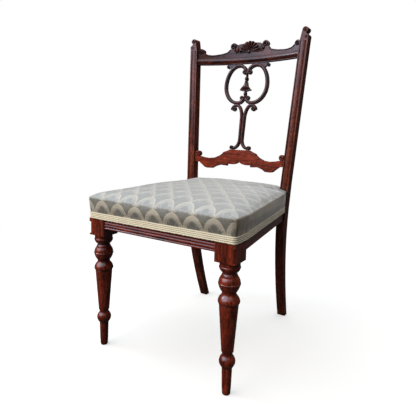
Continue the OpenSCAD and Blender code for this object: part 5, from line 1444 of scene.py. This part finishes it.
# Painted shade: the gaps between the cords are darkened to a third, and each strand is up to 16% darker where
# its twist turns away
between = add(tree, "MapRange", {"Value": cords},
              {"From Min": 0.0, "From Max": 0.6, "To Min": 0.34, "To Max": 1.0})
strand = add(tree, "MapRange", {"Value": twist},
             {"From Min": -1.0, "From Max": 0.2, "To Min": 0.84, "To Max": 1.0})
shade = add(tree, "Math", {0: between, 1: strand}, operation="MULTIPLY")
tone = add(tree, "VectorMath", {0: tone, 1: shade}, operation="MULTIPLY")
plait = add(tree, "Bump", {"Height": strand}, {"Strength": 0.25, "Distance": 0.0006})
shader = add(tree, "BsdfPrincipled", {"Base Color": tone, "Normal": plait},
             {"Roughness": 0.75, "IOR": 1.45, "Sheen Weight": 0.25, "Sheen Roughness": 0.4})
tree.links.new(shader.outputs[0], surface)

# %% Braid
GIMP_LOW, GIMP_BACK, GROOVE, CORD_H = 359.7, 1.0, 0.45, 0.66


def gimp(rows, step=1.2):
    """A band along the outline: out = 0.45 mm + 0.66 mm * |sin(4 pi v)|^0.7 * (1 + 0.04 twist), v from 0 to
    1 up the band, twist = sin(2 pi s / 5.2 mm), a quarter turn on or back from cord to cord.

    The lower edge is frayed by fine waves over the length s, which die away as (1 - v)^6."""
    base = plan(rows, np.full(len(rows), GIMP_LOW), GIMP_BACK)
    run = along_rows(base)
    s = np.arange(0, run[-1], step)
    x, y, out_x, out_y = (np.interp(s, run, column)[:, None] for column in (*base.T, *rows[:, 2:4].T))
    v = np.linspace(0, 1, CORDS * 6 + 1)
    side = np.where(np.floor(v * CORDS) % 2 == 0, 1, -1)
    twist = np.sin(2 * np.pi * s[:, None] / TWIST_MM + side * LEAN)
    out = GROOVE + CORD_H * np.abs(np.sin(math.pi * CORDS * v)) ** 0.7 * (1 + 0.04 * twist)
    frayed = 0.35 * np.sin(s / 7.3) * np.sin(s / 2.9 + 1) + 0.25 * np.sin(s / 1.7)
    z = GIMP_LOW + GIMP_W * v + (1 - v) ** 6 * frayed[:, None]
    front = np.stack([x + out_x * out, y + out_y * out, z], axis=-1)
    back = np.stack(np.broadcast_arrays(x, y, z), axis=-1)
    points, faces = closed_pad(front, back)
    flat = np.stack(np.broadcast_arrays(s[:, None], GIMP_W * v), axis=-1).reshape(-1, 2)
    return (points, faces), np.concatenate([flat, flat])[faces.ravel()]


# The braid round the front ends at the last row before the post that follows the post's whole lean
last_row = int(np.argmax(outline[:, NOTCHED] > 0)) - 1
while outline[last_row, NOTCHED] > 0 or outline[last_row, LEANS_Y] < 1:
    last_row -= 1
round_front = np.concatenate([outline[-last_row:], outline[:last_row + 1]])
across_back = outline[(outline[:, AT_Y] > REAR_Y - 0.05) & (outline[:, NOTCHED] == 0)]
gimp_runs = [gimp(round_front), gimp(across_back)]
make_piece("gimp_band", joined([shell for shell, _ in gimp_runs]), cream_gimp, ["gimp_braid"],
           np.concatenate([uv for _, uv in gimp_runs]))
print("braid round the front, from", round_front[0, :2].round(1), "to", round_front[-1, :2].round(1))

# %% Finish
size_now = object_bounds()
for axis in range(3):
    below, above = cad_low[axis] - size_now[0][axis], size_now[1][axis] - cad_high[axis]
    print("past the CAD box along", "XYZ"[axis], "in mm:", round(1000 * below, 1), round(1000 * above, 1))
